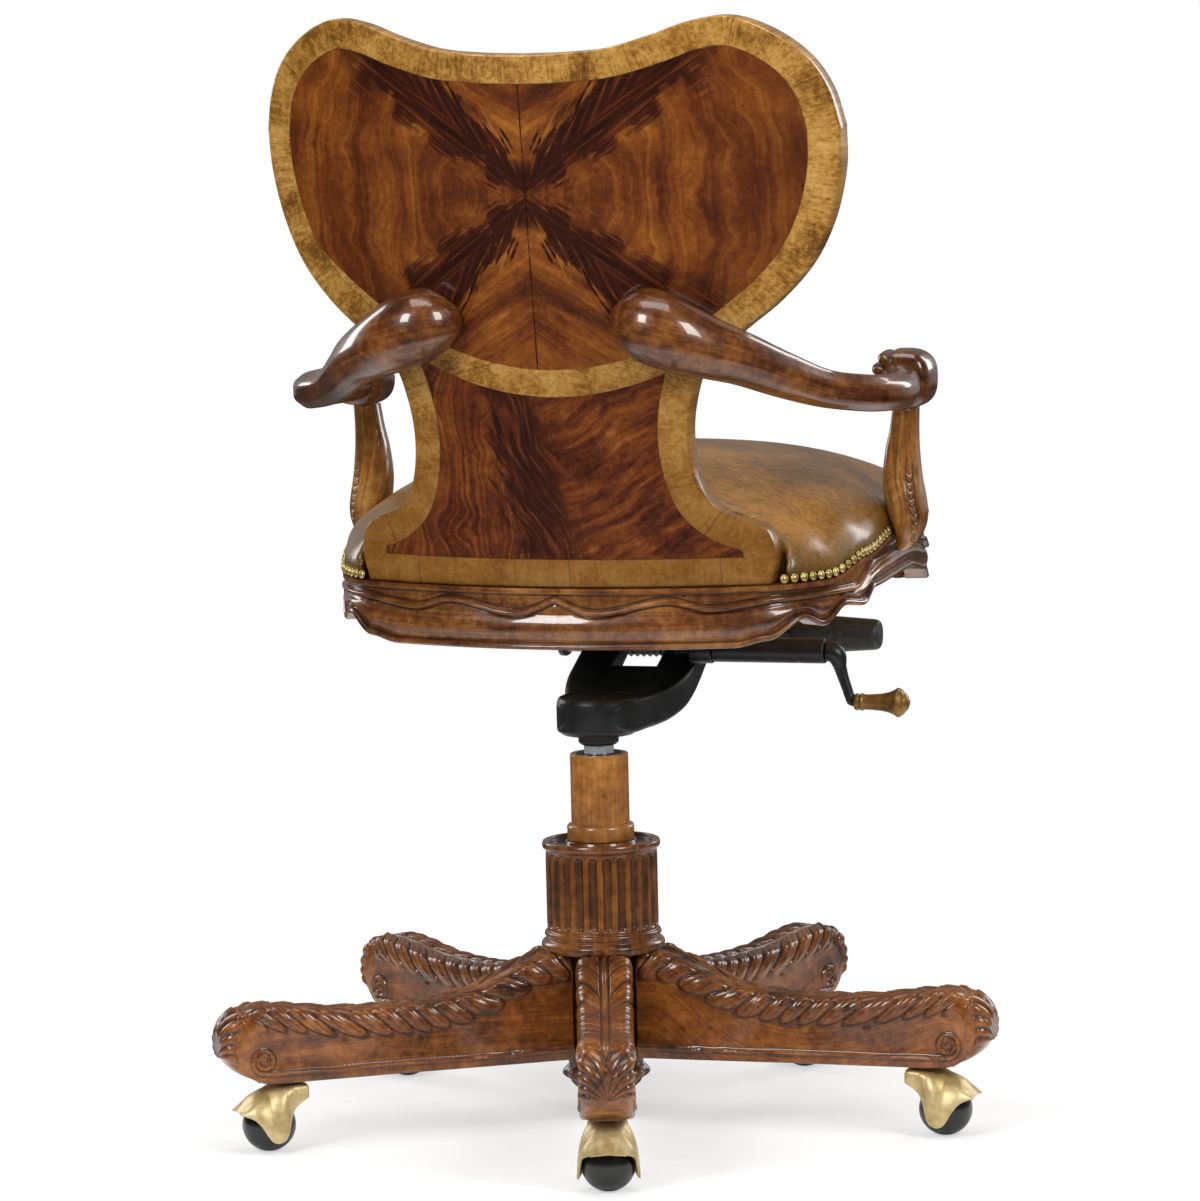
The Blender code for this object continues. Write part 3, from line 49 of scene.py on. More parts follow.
# Everything below is drawn round the gas lift's axis: the sitter faces -Y, the sitter's right is -X.
LEGS = 5
FIRST_LEG = math.radians(107.0)
LEG_TURNS = [FIRST_LEG + index * 2.0 * math.pi / LEGS for index in range(LEGS)]
LEAF_PITCH = 0.0240
HUB_FLAT = 0.0385
CRANK_PLACE = -0.100
CRANK_LEVEL = 0.4382
DRUM_RADIUS = 0.0522
FLUTES = 24
CASTOR_CIRCLE = 0.3125
CASTOR_TRAIL = 0.0185
BALL = 0.025
PANEL_FOOT = 0.127
PANEL_LEAN = 0.158
PANEL_BOW = 0.424
PANEL_THICKNESS = 0.027
PANEL_BOTTOM = 0.5230
PANEL_HALF = 0.2745
PANEL_HEIGHT = 0.5275
FOOT_HALF = 0.725 * PANEL_HALF
PAD_GAP = 0.0006
SEAT_HALF = 0.256
SEAT_DEPTH = 0.501
SEAT_REAR = 0.133
POST_PLACE = -0.140


# Shapes


def spread(count):
    """Even shares from 0 to 1."""
    return np.linspace(0.0, 1.0, count)


def unit(rows):
    """Rows of vectors, each at a length of one."""
    return rows / np.maximum(np.linalg.norm(rows, axis=-1, keepdims=True), 1e-12)


def lengths(spots):
    """How far each point lies along a row of points."""
    return np.concatenate([[0.0], np.cumsum(np.linalg.norm(np.diff(spots, axis=0), axis=1))])


def bump(value, wide, power=2):
    """A soft ridge, one high where the value is 0."""
    return np.exp(-(value / wide) ** power)


def ease(low, high, value):
    """Smooth step from 0 at low to 1 at high."""
    t = np.clip((value - low) / (high - low), 0.0, 1.0)
    return t * t * (3.0 - 2.0 * t)


def through(rows, rounded=True):
    """A run through rows of numbers, even in length, as a function of 0 to 1."""
    rows = np.array(rows, dtype=float)
    if rounded:
        padded = np.vstack([2.0 * rows[0] - rows[1], rows, 2.0 * rows[-1] - rows[-2]])
        t = np.linspace(0.0, 1.0, 24, endpoint=False)[:, None]
        parts = []
        for a, b, c, d in zip(padded, padded[1:], padded[2:], padded[3:]):
            parts.append(0.5 * (2.0 * b + (c - a) * t + (2.0 * a - 5.0 * b + 4.0 * c - d) * t ** 2
                                + (3.0 * b - 3.0 * c + d - a) * t ** 3))
        rows = np.vstack(parts + [rows[-1:]])
    length = lengths(rows)

    def at(t):
        return np.stack([np.interp(t, length / length[-1], column) for column in rows.T], axis=-1)

    at.length = length[-1]
    return at


def between(rows, t):
    """Smooth steps from row to row of (place, value)."""
    places, values = np.array(rows, dtype=float).T
    t = np.clip(t, places[0], places[-1])
    k = np.clip(np.searchsorted(places, t, side="right") - 1, 0, len(places) - 2)
    return values[k] + (values[k + 1] - values[k]) * ease(places[k], places[k + 1], t)


def outward_normals(points):
    """Unit normals of a closed tube's table of points, away from its axis."""
    around = (np.roll(points[:, :-1], -1, axis=1) - np.roll(points[:, :-1], 1, axis=1)) / 2.0
    around = np.concatenate([around, around[:, :1]], axis=1)
    normal = unit(np.cross(np.gradient(points, axis=0), around))
    away = points - points.mean(axis=1, keepdims=True)
    return normal if np.sum(normal * away) > 0.0 else -normal


def formed(points, grain=None, hollow=None, closed=False):
    """Bends a flat grid of faces to a table of points; grain is each point's place in the wood, in metres;
    hollow is painted shade at each point, below zero a painted highlight on wood.
    """
    columns, rows = points.shape[0] - 1, points.shape[1] - 1
    if grain is None:
        run = [np.linalg.norm(np.diff(points, axis=way), axis=-1).mean(axis=1 - way) for way in (0, 1)]
        run = [np.concatenate([[0.0], np.cumsum(steps)]) for steps in run]
        grain = np.stack(np.meshgrid(*run, indexing="ij"), axis=-1)
    bm = bmesh.new()
    figure = bm.loops.layers.uv.new("grain")
    depth = None if hollow is None else bm.verts.layers.float.new("hollow")
    bmesh.ops.create_grid(bm, x_segments=columns, y_segments=rows, size=0.5)
    places = {}
    for vert in bm.verts:
        places[vert] = (round((vert.co.x + 0.5) * columns), round((vert.co.y + 0.5) * rows))
    for face in bm.faces:
        for loop in face.loops:
            loop[figure].uv = grain[places[loop.vert]]
    for vert, place in places.items():
        vert.co = points[place]
        if depth is not None:
            vert[depth] = hollow[place]
    if closed:
        bmesh.ops.remove_doubles(bm, verts=bm.verts, dist=1e-6)
        bmesh.ops.holes_fill(bm, edges=[edge for edge in bm.edges if edge.is_boundary], sides=0)
    return bm


def turned(outline, steps=64, lobes=None, samples=None, lay=0.0, place=(0.0, 0.0, 0.0)):
    """Turns an outline of (radius, height) points, rounded where samples is given, then lays it over about Y
    and puts it in its place; lobes(angle, share, height) gives a carved depth and the painted shade on it."""
    spots = through(outline)(spread(samples + 1)) if samples else np.array(outline, dtype=float)
    angles = 2.0 * math.pi * spread(steps + 1)
    radius = np.repeat(spots[:, :1], steps + 1, axis=1)
    height = np.repeat(spots[:, 1:], steps + 1, axis=1)
    hollow = np.zeros_like(radius)
    if lobes:
        carved, hollow = lobes(angles[None, :], spread(len(spots))[:, None], spots[:, 1:])
        radius = np.maximum(radius + carved * (radius > 1e-6), 0.0)
        hollow = np.broadcast_to(hollow, radius.shape)
    points = np.stack([radius * np.cos(angles), radius * np.sin(angles), height], axis=-1)
    grain = np.stack(np.meshgrid(lengths(spots), angles * spots[:, 0].max(), indexing="ij"), axis=-1)
    bm = formed(points, grain, hollow, closed=True)
    if lay:
        bmesh.ops.rotate(bm, verts=bm.verts, matrix=Matrix.Rotation(lay, 3, "Y"))
    bmesh.ops.translate(bm, verts=bm.verts, vec=place)
    return bm


def soften(outline, radius=0.001, steps=3):
    """Rounds the corners of an outline by a small fillet."""
    points = np.array(outline, dtype=float)
    result = [points[0]]
    for a, b, c in zip(points, points[1:], points[2:]):
        before, after = np.linalg.norm(a - b), np.linalg.norm(c - b)
        cut = min(radius, before * 0.45, after * 0.45)
        start = b + (a - b) / before * cut
        end = b + (c - b) / after * cut
        for t in spread(steps + 1):
            result.append((1 - t) ** 2 * start + 2 * t * (1 - t) * b + t * t * end)
    return [tuple(point) for point in (*result, points[-1])]


def thicken(bm, by=(0.0, 0.0, 0.0)):
    """Draws all of a sheet's faces out into a solid; gives the corners that were drawn out."""
    grown = bmesh.ops.extrude_face_region(bm, geom=bm.faces[:])["geom"]
    drawn = [item for item in grown if isinstance(item, bmesh.types.BMVert)]
    bmesh.ops.translate(bm, verts=drawn, vec=by)
    return drawn


def ease_edges(bm, edges, radius):
    """Rounds edges off by a small radius."""
    bmesh.ops.bevel(bm, geom=edges, offset=radius, offset_type="OFFSET", segments=3, profile=0.5,
                    affect="EDGES", material=-1)


def as_mesh(name, bm):
    """Turns a work mesh into a mesh that an object can hold."""
    mesh = bpy.data.meshes.new(name)
    bm.to_mesh(mesh)
    bm.free()
    return mesh


def joined(*meshes):
    """One mesh out of several."""
    whole = bmesh.new()
    for bm in meshes:
        part = as_mesh("part", bm)
        whole.from_mesh(part)
        bpy.data.meshes.remove(part)
    return whole


def piece(name, bm, finish, body, replaces=(), turn=0.0, shift=(0.0, 0.0, 0.0), smooth=40.0):
    """Finishes a mesh: merged, faces out, put in its place, dressed and riding on its body."""
    mesh = bm
    if isinstance(bm, bmesh.types.BMesh):
        bmesh.ops.remove_doubles(bm, verts=bm.verts, dist=1e-6)
        bmesh.ops.recalc_face_normals(bm, faces=bm.faces)
        mesh = as_mesh(name, bm)
    mesh.transform(Matrix.Translation(COLUMN + Vector(shift)) @ Matrix.Rotation(turn, 4, "Z"))
    mesh.shade_smooth()
    mesh.set_sharp_from_angle(angle=math.radians(smooth))
    mesh.materials.append(finish)
    made = bpy.data.objects.new(name, mesh)
    bpy.context.scene.collection.objects.link(made)
    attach(made, body)
    if replaces:
        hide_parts(*replaces)
    return made


def bake_modifiers(item):
    """Puts an object's modifiers into its mesh, and gives the places of its corners."""
    bpy.context.view_layer.update()
    graph = bpy.context.evaluated_depsgraph_get()
    mesh = bpy.data.meshes.new_from_object(item.evaluated_get(graph))
    item.modifiers.clear()
    item.data = mesh
    spots = np.empty(len(mesh.vertices) * 3)
    mesh.vertices.foreach_get("co", spots)
    return spots.reshape(-1, 3)


# Finishes


def colour(value):
    """An sRGB hex value as linear light."""
    parts = [int(value[i:i + 2], 16) / 255.0 for i in (1, 3, 5)]
    return (*[c / 12.92 if c <= 0.04045 else ((c + 0.055) / 1.055) ** 2.4 for c in parts], 1.0)


def put(tree, kind, wires=(), out=0, stops=None, **settings):
    """Adds a node, such as "Math ADD", with its links, values and settings; gives one of its outputs."""
    kind, _, operation = kind.partition(" ")
    item = tree.nodes.new("ShaderNode" + kind)
    if operation:
        item.operation = operation
    for key, value in settings.items():
        setattr(item, key, value)
    for key, value in wires.items() if isinstance(wires, dict) else enumerate(wires):
        if isinstance(value, bpy.types.NodeSocket):
            tree.links.new(value, item.inputs[key])
        else:
            item.inputs[key].default_value = colour(value) if isinstance(value, str) else value
    if stops:
        ramp = item.color_ramp
        while len(ramp.elements) < len(stops):
            ramp.elements.new(0.5)
        for element, (position, tone) in zip(ramp.elements, stops):
            element.position = position
            element.color = colour(tone)
    return item.outputs[out] if len(item.outputs) else item


def begin(name, **values):
    """A new material with its plain values: gives it, what adds its nodes, and its shader."""
    mat = bpy.data.materials.new(name)
    mat.use_nodes = True
    mat.node_tree.nodes.clear()
    add = partial(put, mat.node_tree)
    shader = add("BsdfPrincipled", {key.replace("_", " "): value for key, value in values.items()}).node
    add("OutputMaterial", [shader.outputs[0]])
    return mat, add, shader


def finished(mat, shader, base, rough, height, depth, strength=0.3):
    """Joins the colour, the roughness and the relief, in metres, to the shader."""
    relief = put(mat.node_tree, "Bump", {"Height": height, "Distance": depth, "Strength": strength})
    for name, value in (("Base Color", base), ("Roughness", rough), ("Normal", relief)):
        mat.node_tree.links.new(value, shader.inputs[name])
    return mat


def mm(*sizes):
    """Pattern scale for a size in millimetres each way."""
    return tuple(1000.0 / size for size in sizes)


def noises(add, *rows):
    """Noises, each with its place, its size in mm each way, its detail, roughness and twist."""
    rows = [row + (0.6, 0.0)[len(row) - 3:] for row in rows]
    return [add("TexNoise", {0: add("Mapping", {0: where, 3: mm(*size)}), 2: 1.0, 3: detail, 4: rough,
                             8: twist}) for where, size, detail, rough, twist in rows]


def weighed(add, total, *rows):
    """Adds values to a total, each by its weight."""
    for value, weight in rows:
        total = add("Math MULTIPLY_ADD", [value, weight, total])
    return total


def layered(add, base, *rows):
    """Lays tints over a colour, each by its amount."""
    for amount, tint in rows:
        base = add("Mix", {0: amount, 6: base, 7: tint}, data_type="RGBA", out=2)
    return base


SOFT = {"interpolation_type": "SMOOTHSTEP"}


def aged_wood(name, dark, middle, light, coat=0.85, marks=1.0):
    """Hardwood carved or turned by hand, stained, knocked about and waxed. Grain lines follow the piece
    2.6 mm apart, drawn a little coarse so that they show, under stain clouds 9 and 60 mm across. Pores
    are short dark dashes, knocks and worm holes 1 to 2 mm wide are nearly black, dark wax and painted
    shade lie in the hollows, and crests are rubbed lighter with a painted highlight. The clear coat
    gives sharp lights over a soft sheen."""
    mat, add, shader = begin(name, IOR=1.5, Specular_IOR_Level=0.3, Coat_Weight=coat, Coat_Roughness=0.07)
    run = add("UVMap", uv_map="grain")
    place = add("TexCoord", out="Object")
    lines, broad, pores, mottle, smoky, scuffs = noises(
        add, (run, (110.0, 2.6, 1000.0), 5.0, 0.6, 0.4), (run, (250.0, 24.0, 1000.0), 3.0, 0.55, 0.8),
        (run, (12.0, 0.9, 1000.0), 2.0, 0.5), (place, (9.0, 9.0, 9.0), 6.0, 0.65),
        (place, (60.0, 60.0, 60.0), 4.0), (place, (7.0, 2.5, 5.0), 2.0, 0.5))
    tone = weighed(add, 0.0, (broad, 0.24), (lines, 0.26), (mottle, 0.34), (smoky, 0.40))
    base = add("ValToRGB", [tone], stops=[(0.50, dark), (0.62, middle), (0.76, light)])
    slanted = add("Mapping", {0: place, 2: (0.5, 0.9, 0.4), 3: mm(17.0, 70.0, 17.0)})
    dots = []
    # Worm holes 21 mm apart in half of the cells, and nicks in a quarter of longer, slanted ones
    for where, scale, rim, heart, channel, rare in ((place, 1000.0 / 21.0, 0.050, 0.025, 0, 0.50),
                                                    (slanted, 1.0, 0.085, 0.045, 1, 0.72)):
        cells = add("TexVoronoi", {0: where, "Scale": scale}).node.outputs
        lucky = add("SeparateColor", [cells["Color"]], out=channel)
        dots.append(add("Math MULTIPLY", [add("MapRange", [cells["Distance"], rim, heart], **SOFT),
                                          add("MapRange", [lucky, rare, rare + 0.02], **SOFT)]))
    scuffs = add("MapRange", [scuffs, 0.68, 0.76, 0.0, 0.55], **SOFT)
    knocks = add("Math MAXIMUM", [add("Math MAXIMUM", dots), scuffs])
    knocks = add("Math MULTIPLY", [knocks, 0.85 * marks])
    hollow = add("Attribute", out="Fac", attribute_name="hollow")
    # Painted shade, with dark wax, fills the hollows; crests get a painted highlight along with their wear.
    wear_and_highlight, wax_and_shade = (add("Math MULTIPLY", [hollow, share], use_clamp=True) for share in (-0.6, 0.88))
    base = layered(add, base, (add("MapRange", [pores, 0.60, 0.74, 0.0, 0.35], **SOFT), "#1d0c04"),
                   (knocks, "#130803"), (wear_and_highlight, light), (wax_and_shade, "#160a03"))
    rough = weighed(add, 0.22, (mottle, 0.22), (add("Math MAXIMUM", [hollow, 0.0]), 0.20))
    height = weighed(add, 0.0, (knocks, -1.3), (lines, 0.30), (mottle, 0.45))
    return finished(mat, shader, base, rough, height, 0.0006)


def crotch_veneer():
    """Book-matched crotch mahogany: four leaves meet at the seams and mirror one another. Feathered dark
    flames 30 to 60 mm wide leave the middle in an X, with rings about a heart on each side of it,
    chevrons 3 mm apart above and below it and stripes 20 mm wide at the sides. A crossband 26 mm wide
    of golden burr walnut, mottled and freckled, runs round the rim and parts the two fields. All of it
    lies under thin lacquer and wax."""
    mat, add, shader = begin("crotch_mahogany_veneer", IOR=1.5, Specular_IOR_Level=0.15, Coat_Weight=0.45,
                             Coat_Roughness=0.10)
    flat = add("UVMap", uv_map="grain")
    x, z = (add("SeparateXYZ", [flat], out=way) for way in (0, 1))
    edge, around, belt = (add("Attribute", out="Fac", attribute_name=name)
                          for name in ("edge", "around", "belt"))
    across, upright = (add("Math ABSOLUTE", [add("Math SUBTRACT", [way, middle])])
                       for way, middle in ((x, 0.001), (z, 0.889)))
    # One noise without a mirror keeps the four leaves from being quite the same.
    own = add("TexNoise", {0: flat, 2: 1000.0 / 60.0, 3: 4.0})
    leaf = add("CombineXYZ", [weighed(add, across, (own, 0.022)), weighed(add, upright, (own, 0.018)), 0.0])
    steep, low_slant = (add("VectorRotate", {"Vector": leaf, "Angle": math.radians(turn)},
                            rotation_type="Z_AXIS") for turn in (-62.0, -36.0))
    sway, shake, blob, feather, comet, mottle, cloud = noises(
        add, (leaf, (90.0, 90.0, 1000.0), 2.0, 0.5), (leaf, (26.0, 26.0, 1000.0), 5.0),
        (leaf, (38.0, 38.0, 1000.0), 3.0, 0.5), (steep, (60.0, 3.6, 1000.0), 4.0, 0.62),
        (low_slant, (90.0, 5.0, 1000.0), 4.0, 0.62), (flat, (6.0, 6.0, 1000.0), 6.0, 0.65),
        (flat, (55.0, 55.0, 1000.0), 3.0, 0.5))
    arm = add("Math MULTIPLY_ADD", [across, weighed(add, 0.93, (across, -0.4)), 0.004])
    apart = add("Math SUBTRACT", [upright, arm])
    inner = add("MapRange", [apart, -0.006, 0.014], **SOFT)
    centre = add("CombineXYZ", [add("Math SUBTRACT", [across, 0.055]),
                                add("Math MULTIPLY", [upright, 0.6]), 0.0])
    ring = add("VectorMath LENGTH", [centre], out="Value")
    chevron = weighed(add, add("Math ADD", [upright, 0.3]), (across, -0.62))
    level = add("Mix", {0: inner, 2: ring, 3: chevron}, data_type="FLOAT")
    level = weighed(add, level, (sway, add("MapRange", [inner, 0.0, 1.0, 0.075, 0.018])), (shake, 0.007))
    lengthwise = add("CombineXYZ", [level, add("Math ADD", [across, upright]), 0.0])
    strands, stripes = noises(add, (lengthwise, (3.4, 55.0, 1000.0), 4.0),
                              (lengthwise, (20.0, 220.0, 1000.0), 2.0))
    tone = weighed(add, 0.0, (stripes, 0.42), (strands, 0.24), (mottle, 0.22), (cloud, 0.30), (inner, 0.020))
    upper = add("ValToRGB", [tone], stops=[(0.47, "#331404"), (0.57, "#532506"), (0.66, "#6f3b0c"),
                                           (0.78, "#8f591a")])
    hair = add("Mix", {0: inner, 2: comet, 3: feather}, data_type="FLOAT")
    smoke = add("ValToRGB", [hair], stops=[(0.38, "#180501"), (0.52, "#2a0b03"), (0.68, "#552407")])
    drift = weighed(add, add("Math SUBTRACT", [apart, 0.120]), (hair, 0.110), (blob, 0.130))
    width = add("Math MINIMUM", [weighed(add, 0.016, (across, 0.26)), 0.042])
    flame = add("MapRange", [add("Math DIVIDE", [add("Math ABSOLUTE", [drift]), width]), 1.15, 0.70], **SOFT)
    flame = add("Math MULTIPLY", [flame, add("MapRange", [across, 0.215, 0.140, 0.0, 0.95], **SOFT)])
    fan = add("Math ARCTAN2", [across, upright])
    spoke = add("VectorMath LENGTH", [leaf], out="Value")
    rays = [add("Math MULTIPLY", [value, scale]) for value, scale in ((fan, 9.0), (spoke, 16.0))]
    lashes = add("TexNoise", {0: add("CombineXYZ", [*rays, 0.0]), 2: 1.0, 3: 4.0})
    waist = weighed(add, add("Math SUBTRACT", [fan, 0.65]), (lashes, 1.3))
    heart = add("Math MULTIPLY", [add("MapRange", [waist, 0.72, 0.42, 0.0, 0.85], **SOFT),
                                  add("MapRange", [spoke, 0.052, 0.032], **SOFT)])
    beside = add("MapRange", [add("Math ABSOLUTE", [apart]), 0.060, 0.022, 0.0, 0.55], **SOFT)
    beside = add("Math MULTIPLY", [beside, add("MapRange", [hair, 0.54, 0.68], **SOFT)])
    # The last tint is painted shade: the upper field darkens towards x = -0.25.
    upper = layered(add, upper, (beside, "#9a6526"), (add("Math MAXIMUM", [flame, heart]), smoke),
                    (add("MapRange", [x, -0.12, -0.25, 0.0, 0.35], **SOFT), "#431a05"))
    # Lower field: straight stripes on one side, a dark plume, a soft golden swirl on the other
    slow = add("TexNoise", {0: flat, 2: 1000.0 / 90.0, 3: 2.0})
    low = add("CombineXYZ", [weighed(add, x, (slow, 0.075)), z, 0.0])
    slanted = add("VectorRotate", {"Vector": low, "Angle": math.radians(28.0)}, rotation_type="Z_AXIS")
    rows, swirl, wisps = noises(add, (low, (4.5, 190.0, 1000.0), 4.0), (slanted, (60.0, 9.0, 1000.0), 4.0),
                                (slanted, (5.0, 60.0, 1000.0), 4.0))
    side = add("MapRange", [x, 0.030, -0.020], **SOFT)
    low_tone = add("Mix", {0: side, 2: rows, 3: swirl}, data_type="FLOAT")
    low_tone = weighed(add, 0.0, (mottle, 0.25), (low_tone, 0.55), (cloud, 0.35))
    lower = add("ValToRGB", [low_tone], stops=[(0.47, "#2b0d03"), (0.56, "#4a1e06"), (0.65, "#663309"),
                                               (0.76, "#84501a")])
    plume = weighed(add, add("Math SUBTRACT", [x, 0.089]), (add("Math SUBTRACT", [z, 0.63]), -0.20),
                    (wisps, 0.090), (blob, 0.060))
    plume = add("MapRange", [add("Math ABSOLUTE", [plume]), 0.036, 0.014, 0.0, 0.92], **SOFT)
    dark_plume = add("ValToRGB", [wisps], stops=[(0.38, "#1a0602"), (0.52, "#2e0d04"), (0.68, "#5a2a09")])
    lower = layered(add, lower, (plume, dark_plume))
    seam = add("Math MULTIPLY", [add("MapRange", [across, 0.0011, 0.0004], **SOFT),
                                 add("MapRange", [belt, -0.0005, 0.0005])])
    seam = add("Math MULTIPLY", [seam, add("MapRange", [shake, 0.38, 0.52, 0.35, 0.9], **SOFT)])
    field = layered(add, upper, (add("MapRange", [belt, 0.0005, -0.0005]), lower), (seam, "#140602"))
    # Crossband
    ribbon = add("CombineXYZ", [around, edge, 0.0])
    burr, haze, scratch, freckle, smudge = noises(
        add, (flat, (5.0, 5.0, 1000.0), 6.0, 0.7), (flat, (34.0, 34.0, 1000.0), 3.0, 0.5),
        (ribbon, (1.7, 24.0, 1000.0), 4.0), (flat, (2.4, 2.4, 1000.0), 2.0, 0.5),
        (ribbon, (7.0, 15.0, 1000.0), 3.0))
    gold = weighed(add, 0.0, (haze, 0.44), (burr, 0.46), (scratch, 0.26))
    band = add("ValToRGB", [gold], stops=[(0.47, "#5b390f"), (0.55, "#82591f"), (0.62, "#9b7335"),
                                          (0.74, "#b38d50")])
    joint = add("Math SUBTRACT", [add("Math FRACT", [add("Math MULTIPLY", [around, 7.3])]), 0.5])
    joint = add("Math ABSOLUTE", [joint])
    band = layered(add, band, (add("MapRange", [smudge, 0.58, 0.72, 0.0, 0.50], **SOFT), "#54360f"),
                   (add("MapRange", [freckle, 0.64, 0.72, 0.0, 0.65], **SOFT), "#341b06"),
                   (add("MapRange", [z, 0.80, 0.56, 0.0, 0.70], **SOFT), "#68400f"),
                   (add("MapRange", [joint, 0.493, 0.498, 0.0, 0.45], **SOFT), "#3a1d07"))
    banded = add("Math MAXIMUM", [add("MapRange", [edge, 0.0271, 0.0265], **SOFT),
                                  add("MapRange", [add("Math ABSOLUTE", [belt]), 0.0128, 0.0122], **SOFT)])
    glue = add("Math ABSOLUTE", [add("Math SUBTRACT", [edge, 0.0268])])
    worm = add("TexVoronoi", {0: flat, "Scale": 1000.0 / 15.0}).node.outputs
    lucky = add("SeparateColor", [worm["Color"]])
    worm = add("Math MULTIPLY", [add("MapRange", [worm["Distance"], 0.075, 0.04], **SOFT),
                                 add("MapRange", [lucky, 0.60, 0.62, 0.0, 0.8], **SOFT)])
    base = layered(add, field, (banded, band),
                   (add("MapRange", [glue, 0.0009, 0.0003, 0.0, 0.45], **SOFT), "#2a1206"), (worm, "#160803"))
    rough = weighed(add, 0.28, (mottle, 0.20))
    height = weighed(add, 0.0, (worm, -1.0), (seam, -1.0), (mottle, 0.35))
    return finished(mat, shader, base, rough, height, 0.0004, 0.25)


def waxed_leather():
    """Cow hide dyed tan over olive and antiqued with a cloth: drag marks of the dye 16 mm long, clouds
    130 mm across, painted shade along its edge, and a pebble of 1.8 mm, a little coarse so that it shows.
    Wax gives it a broad soft sheen."""
    mat, add, shader = begin("antiqued_waxed_leather", IOR=1.48, Coat_Weight=0.35, Coat_Roughness=0.20)
    place = add("TexCoord", out="Object")
    drag, cloud, fleck = noises(add, (place, (16.0, 3.2, 3.2), 4.0), (place, (130.0, 130.0, 130.0), 3.0),
                                (place, (7.0, 7.0, 7.0), 3.0))
    tone = weighed(add, 0.0, (cloud, 0.58), (drag, 0.50))
    base = add("ValToRGB", [tone], stops=[(0.44, "#563a0d"), (0.54, "#754e18"), (0.66, "#96682b")])
    # Painted shade where the leather turns down at its edge, taken from the hollow attribute.
    edge_shade = add("Math MULTIPLY", [add("Attribute", out="Fac", attribute_name="hollow"), 0.85])
    base = layered(add, base, (add("MapRange", [fleck, 0.56, 0.72, 0.0, 0.35], **SOFT), "#513410"),
                   (edge_shade, "#3b300f"))
    pebble = add("TexVoronoi", {0: place, "Scale": 1000.0 / 1.8}, out="Distance", feature="SMOOTH_F1")
    height = weighed(add, 0.0, (drag, 0.3), (pebble, 0.4))
    return finished(mat, shader, base, weighed(add, 0.26, (cloud, 0.22)), height, 0.0005, 0.22)


def metal(name, light, dark, rough, metallic=1.0, patch=16.0, strength=0.15, tarnish_and_shade="#2a1c08"):
    """Cast, plated or coated metal, and moulded black plastic: soft clouds of tarnish or wear at the size
    given, a fine tooth of 1.1 mm in the relief, and painted shade, with tarnish on brass, in the hollows."""
    mat, add, shader = begin(name, Metallic=metallic)
    place = add("TexCoord", out="Object")
    cloud, tooth = (add("TexNoise", {0: place, 2: 1000.0 / size, 3: detail, 4: 0.6})
                    for size, detail in ((patch, 5.0), (1.1, 2.0)))
    # Painted shade, with tarnish on brass, darkens the places that the hollow attribute marks.
    hollow = add("Math MULTIPLY", [add("Attribute", out="Fac", attribute_name="hollow"), 0.75])
    base = layered(add, add("ValToRGB", [cloud], stops=[(0.35, dark), (0.65, light)]), (hollow, tarnish_and_shade))
    rough = weighed(add, rough - 0.10, (cloud, 0.20))
    return finished(mat, shader, base, rough, weighed(add, cloud, (tooth, 0.3)), 0.0003, strength)


def plywood():
    """Seat board of plain birch plywood, sawn and sanded: pale face grain 4 mm apart under the leather."""
    mat, add, shader = begin("birch_plywood", IOR=1.5)
    lines, = noises(add, (add("TexCoord", out="Object"), (125.0, 4.0, 4.0), 4.0, 0.5, 0.5))
    base = add("ValToRGB", [lines], stops=[(0.35, "#9c7b4c"), (0.65, "#c9ab78")])
    return finished(mat, shader, base, weighed(add, 0.55, (lines, 0.2)), lines, 0.0002)


ARM_WOOD = aged_wood("waxed_dark_mahogany", "#1c0a03", "#4e260a", "#804e1b", coat=0.7)
RAIL_WOOD = aged_wood("waxed_brown_mahogany", "#271107", "#603510", "#92602a", coat=0.7)
LEG_WOOD = aged_wood("waxed_golden_mahogany", "#2c1405", "#6d3b11", "#9a5f25", coat=0.5)
DRUM_WOOD = aged_wood("waxed_turned_mahogany", "#260f04", "#5d310b", "#8c571d", coat=0.5)
SLEEVE_WOOD = aged_wood("oiled_walnut", "#643a12", "#905c26", "#b07c40", coat=0.3, marks=0.4)
POST_WOOD = aged_wood("waxed_light_mahogany", "#4e2a0a", "#87561f", "#b08041", marks=0.8)
VENEER = crotch_veneer()
LEATHER = waxed_leather()
NAIL_BRASS = metal("antiqued_nail_brass", "#cdb478", "#94803f", 0.36, metallic=0.8)
# Metallic 0.45 leaves a diffuse part that renders the hood pale: partly its satin finish, partly painted
# reflection of a bright room.
CASTOR_BRASS = metal("satin_cast_brass", "#cdb98c", "#a8905a", 0.42, metallic=0.45)
KNOB_BRASS = metal("aged_turned_brass", "#94703a", "#5d431b", 0.42, metallic=0.6)
BLACK = {"metallic": 0.0, "tarnish_and_shade": "#050505"}
BLACK_STEEL = metal("black_powder_coated_steel", "#191919", "#0c0c0d", 0.40, **BLACK)
BLACK_GRIP = metal("black_moulded_nylon", "#2c2b2a", "#1b1b1b", 0.50, patch=5.0, strength=0.3, **BLACK)
BALL_RUBBER = metal("black_phenolic_resin", "#191917", "#0b0b0a", 0.24, **BLACK)
# Painted reflection: at metallic 0.6 the near-white colour also lights the chrome as a diffuse surface, in
# place of the bright room it would reflect.
CHROME = metal("bright_chrome_plate", "#e8eaec", "#d2d5d8", 0.24, metallic=0.6, patch=50.0)
ZINC = metal("zinc_plated_steel", "#a9abac", "#84878a", 0.38)
PLYWOOD = plywood()


# Column, drum, hub


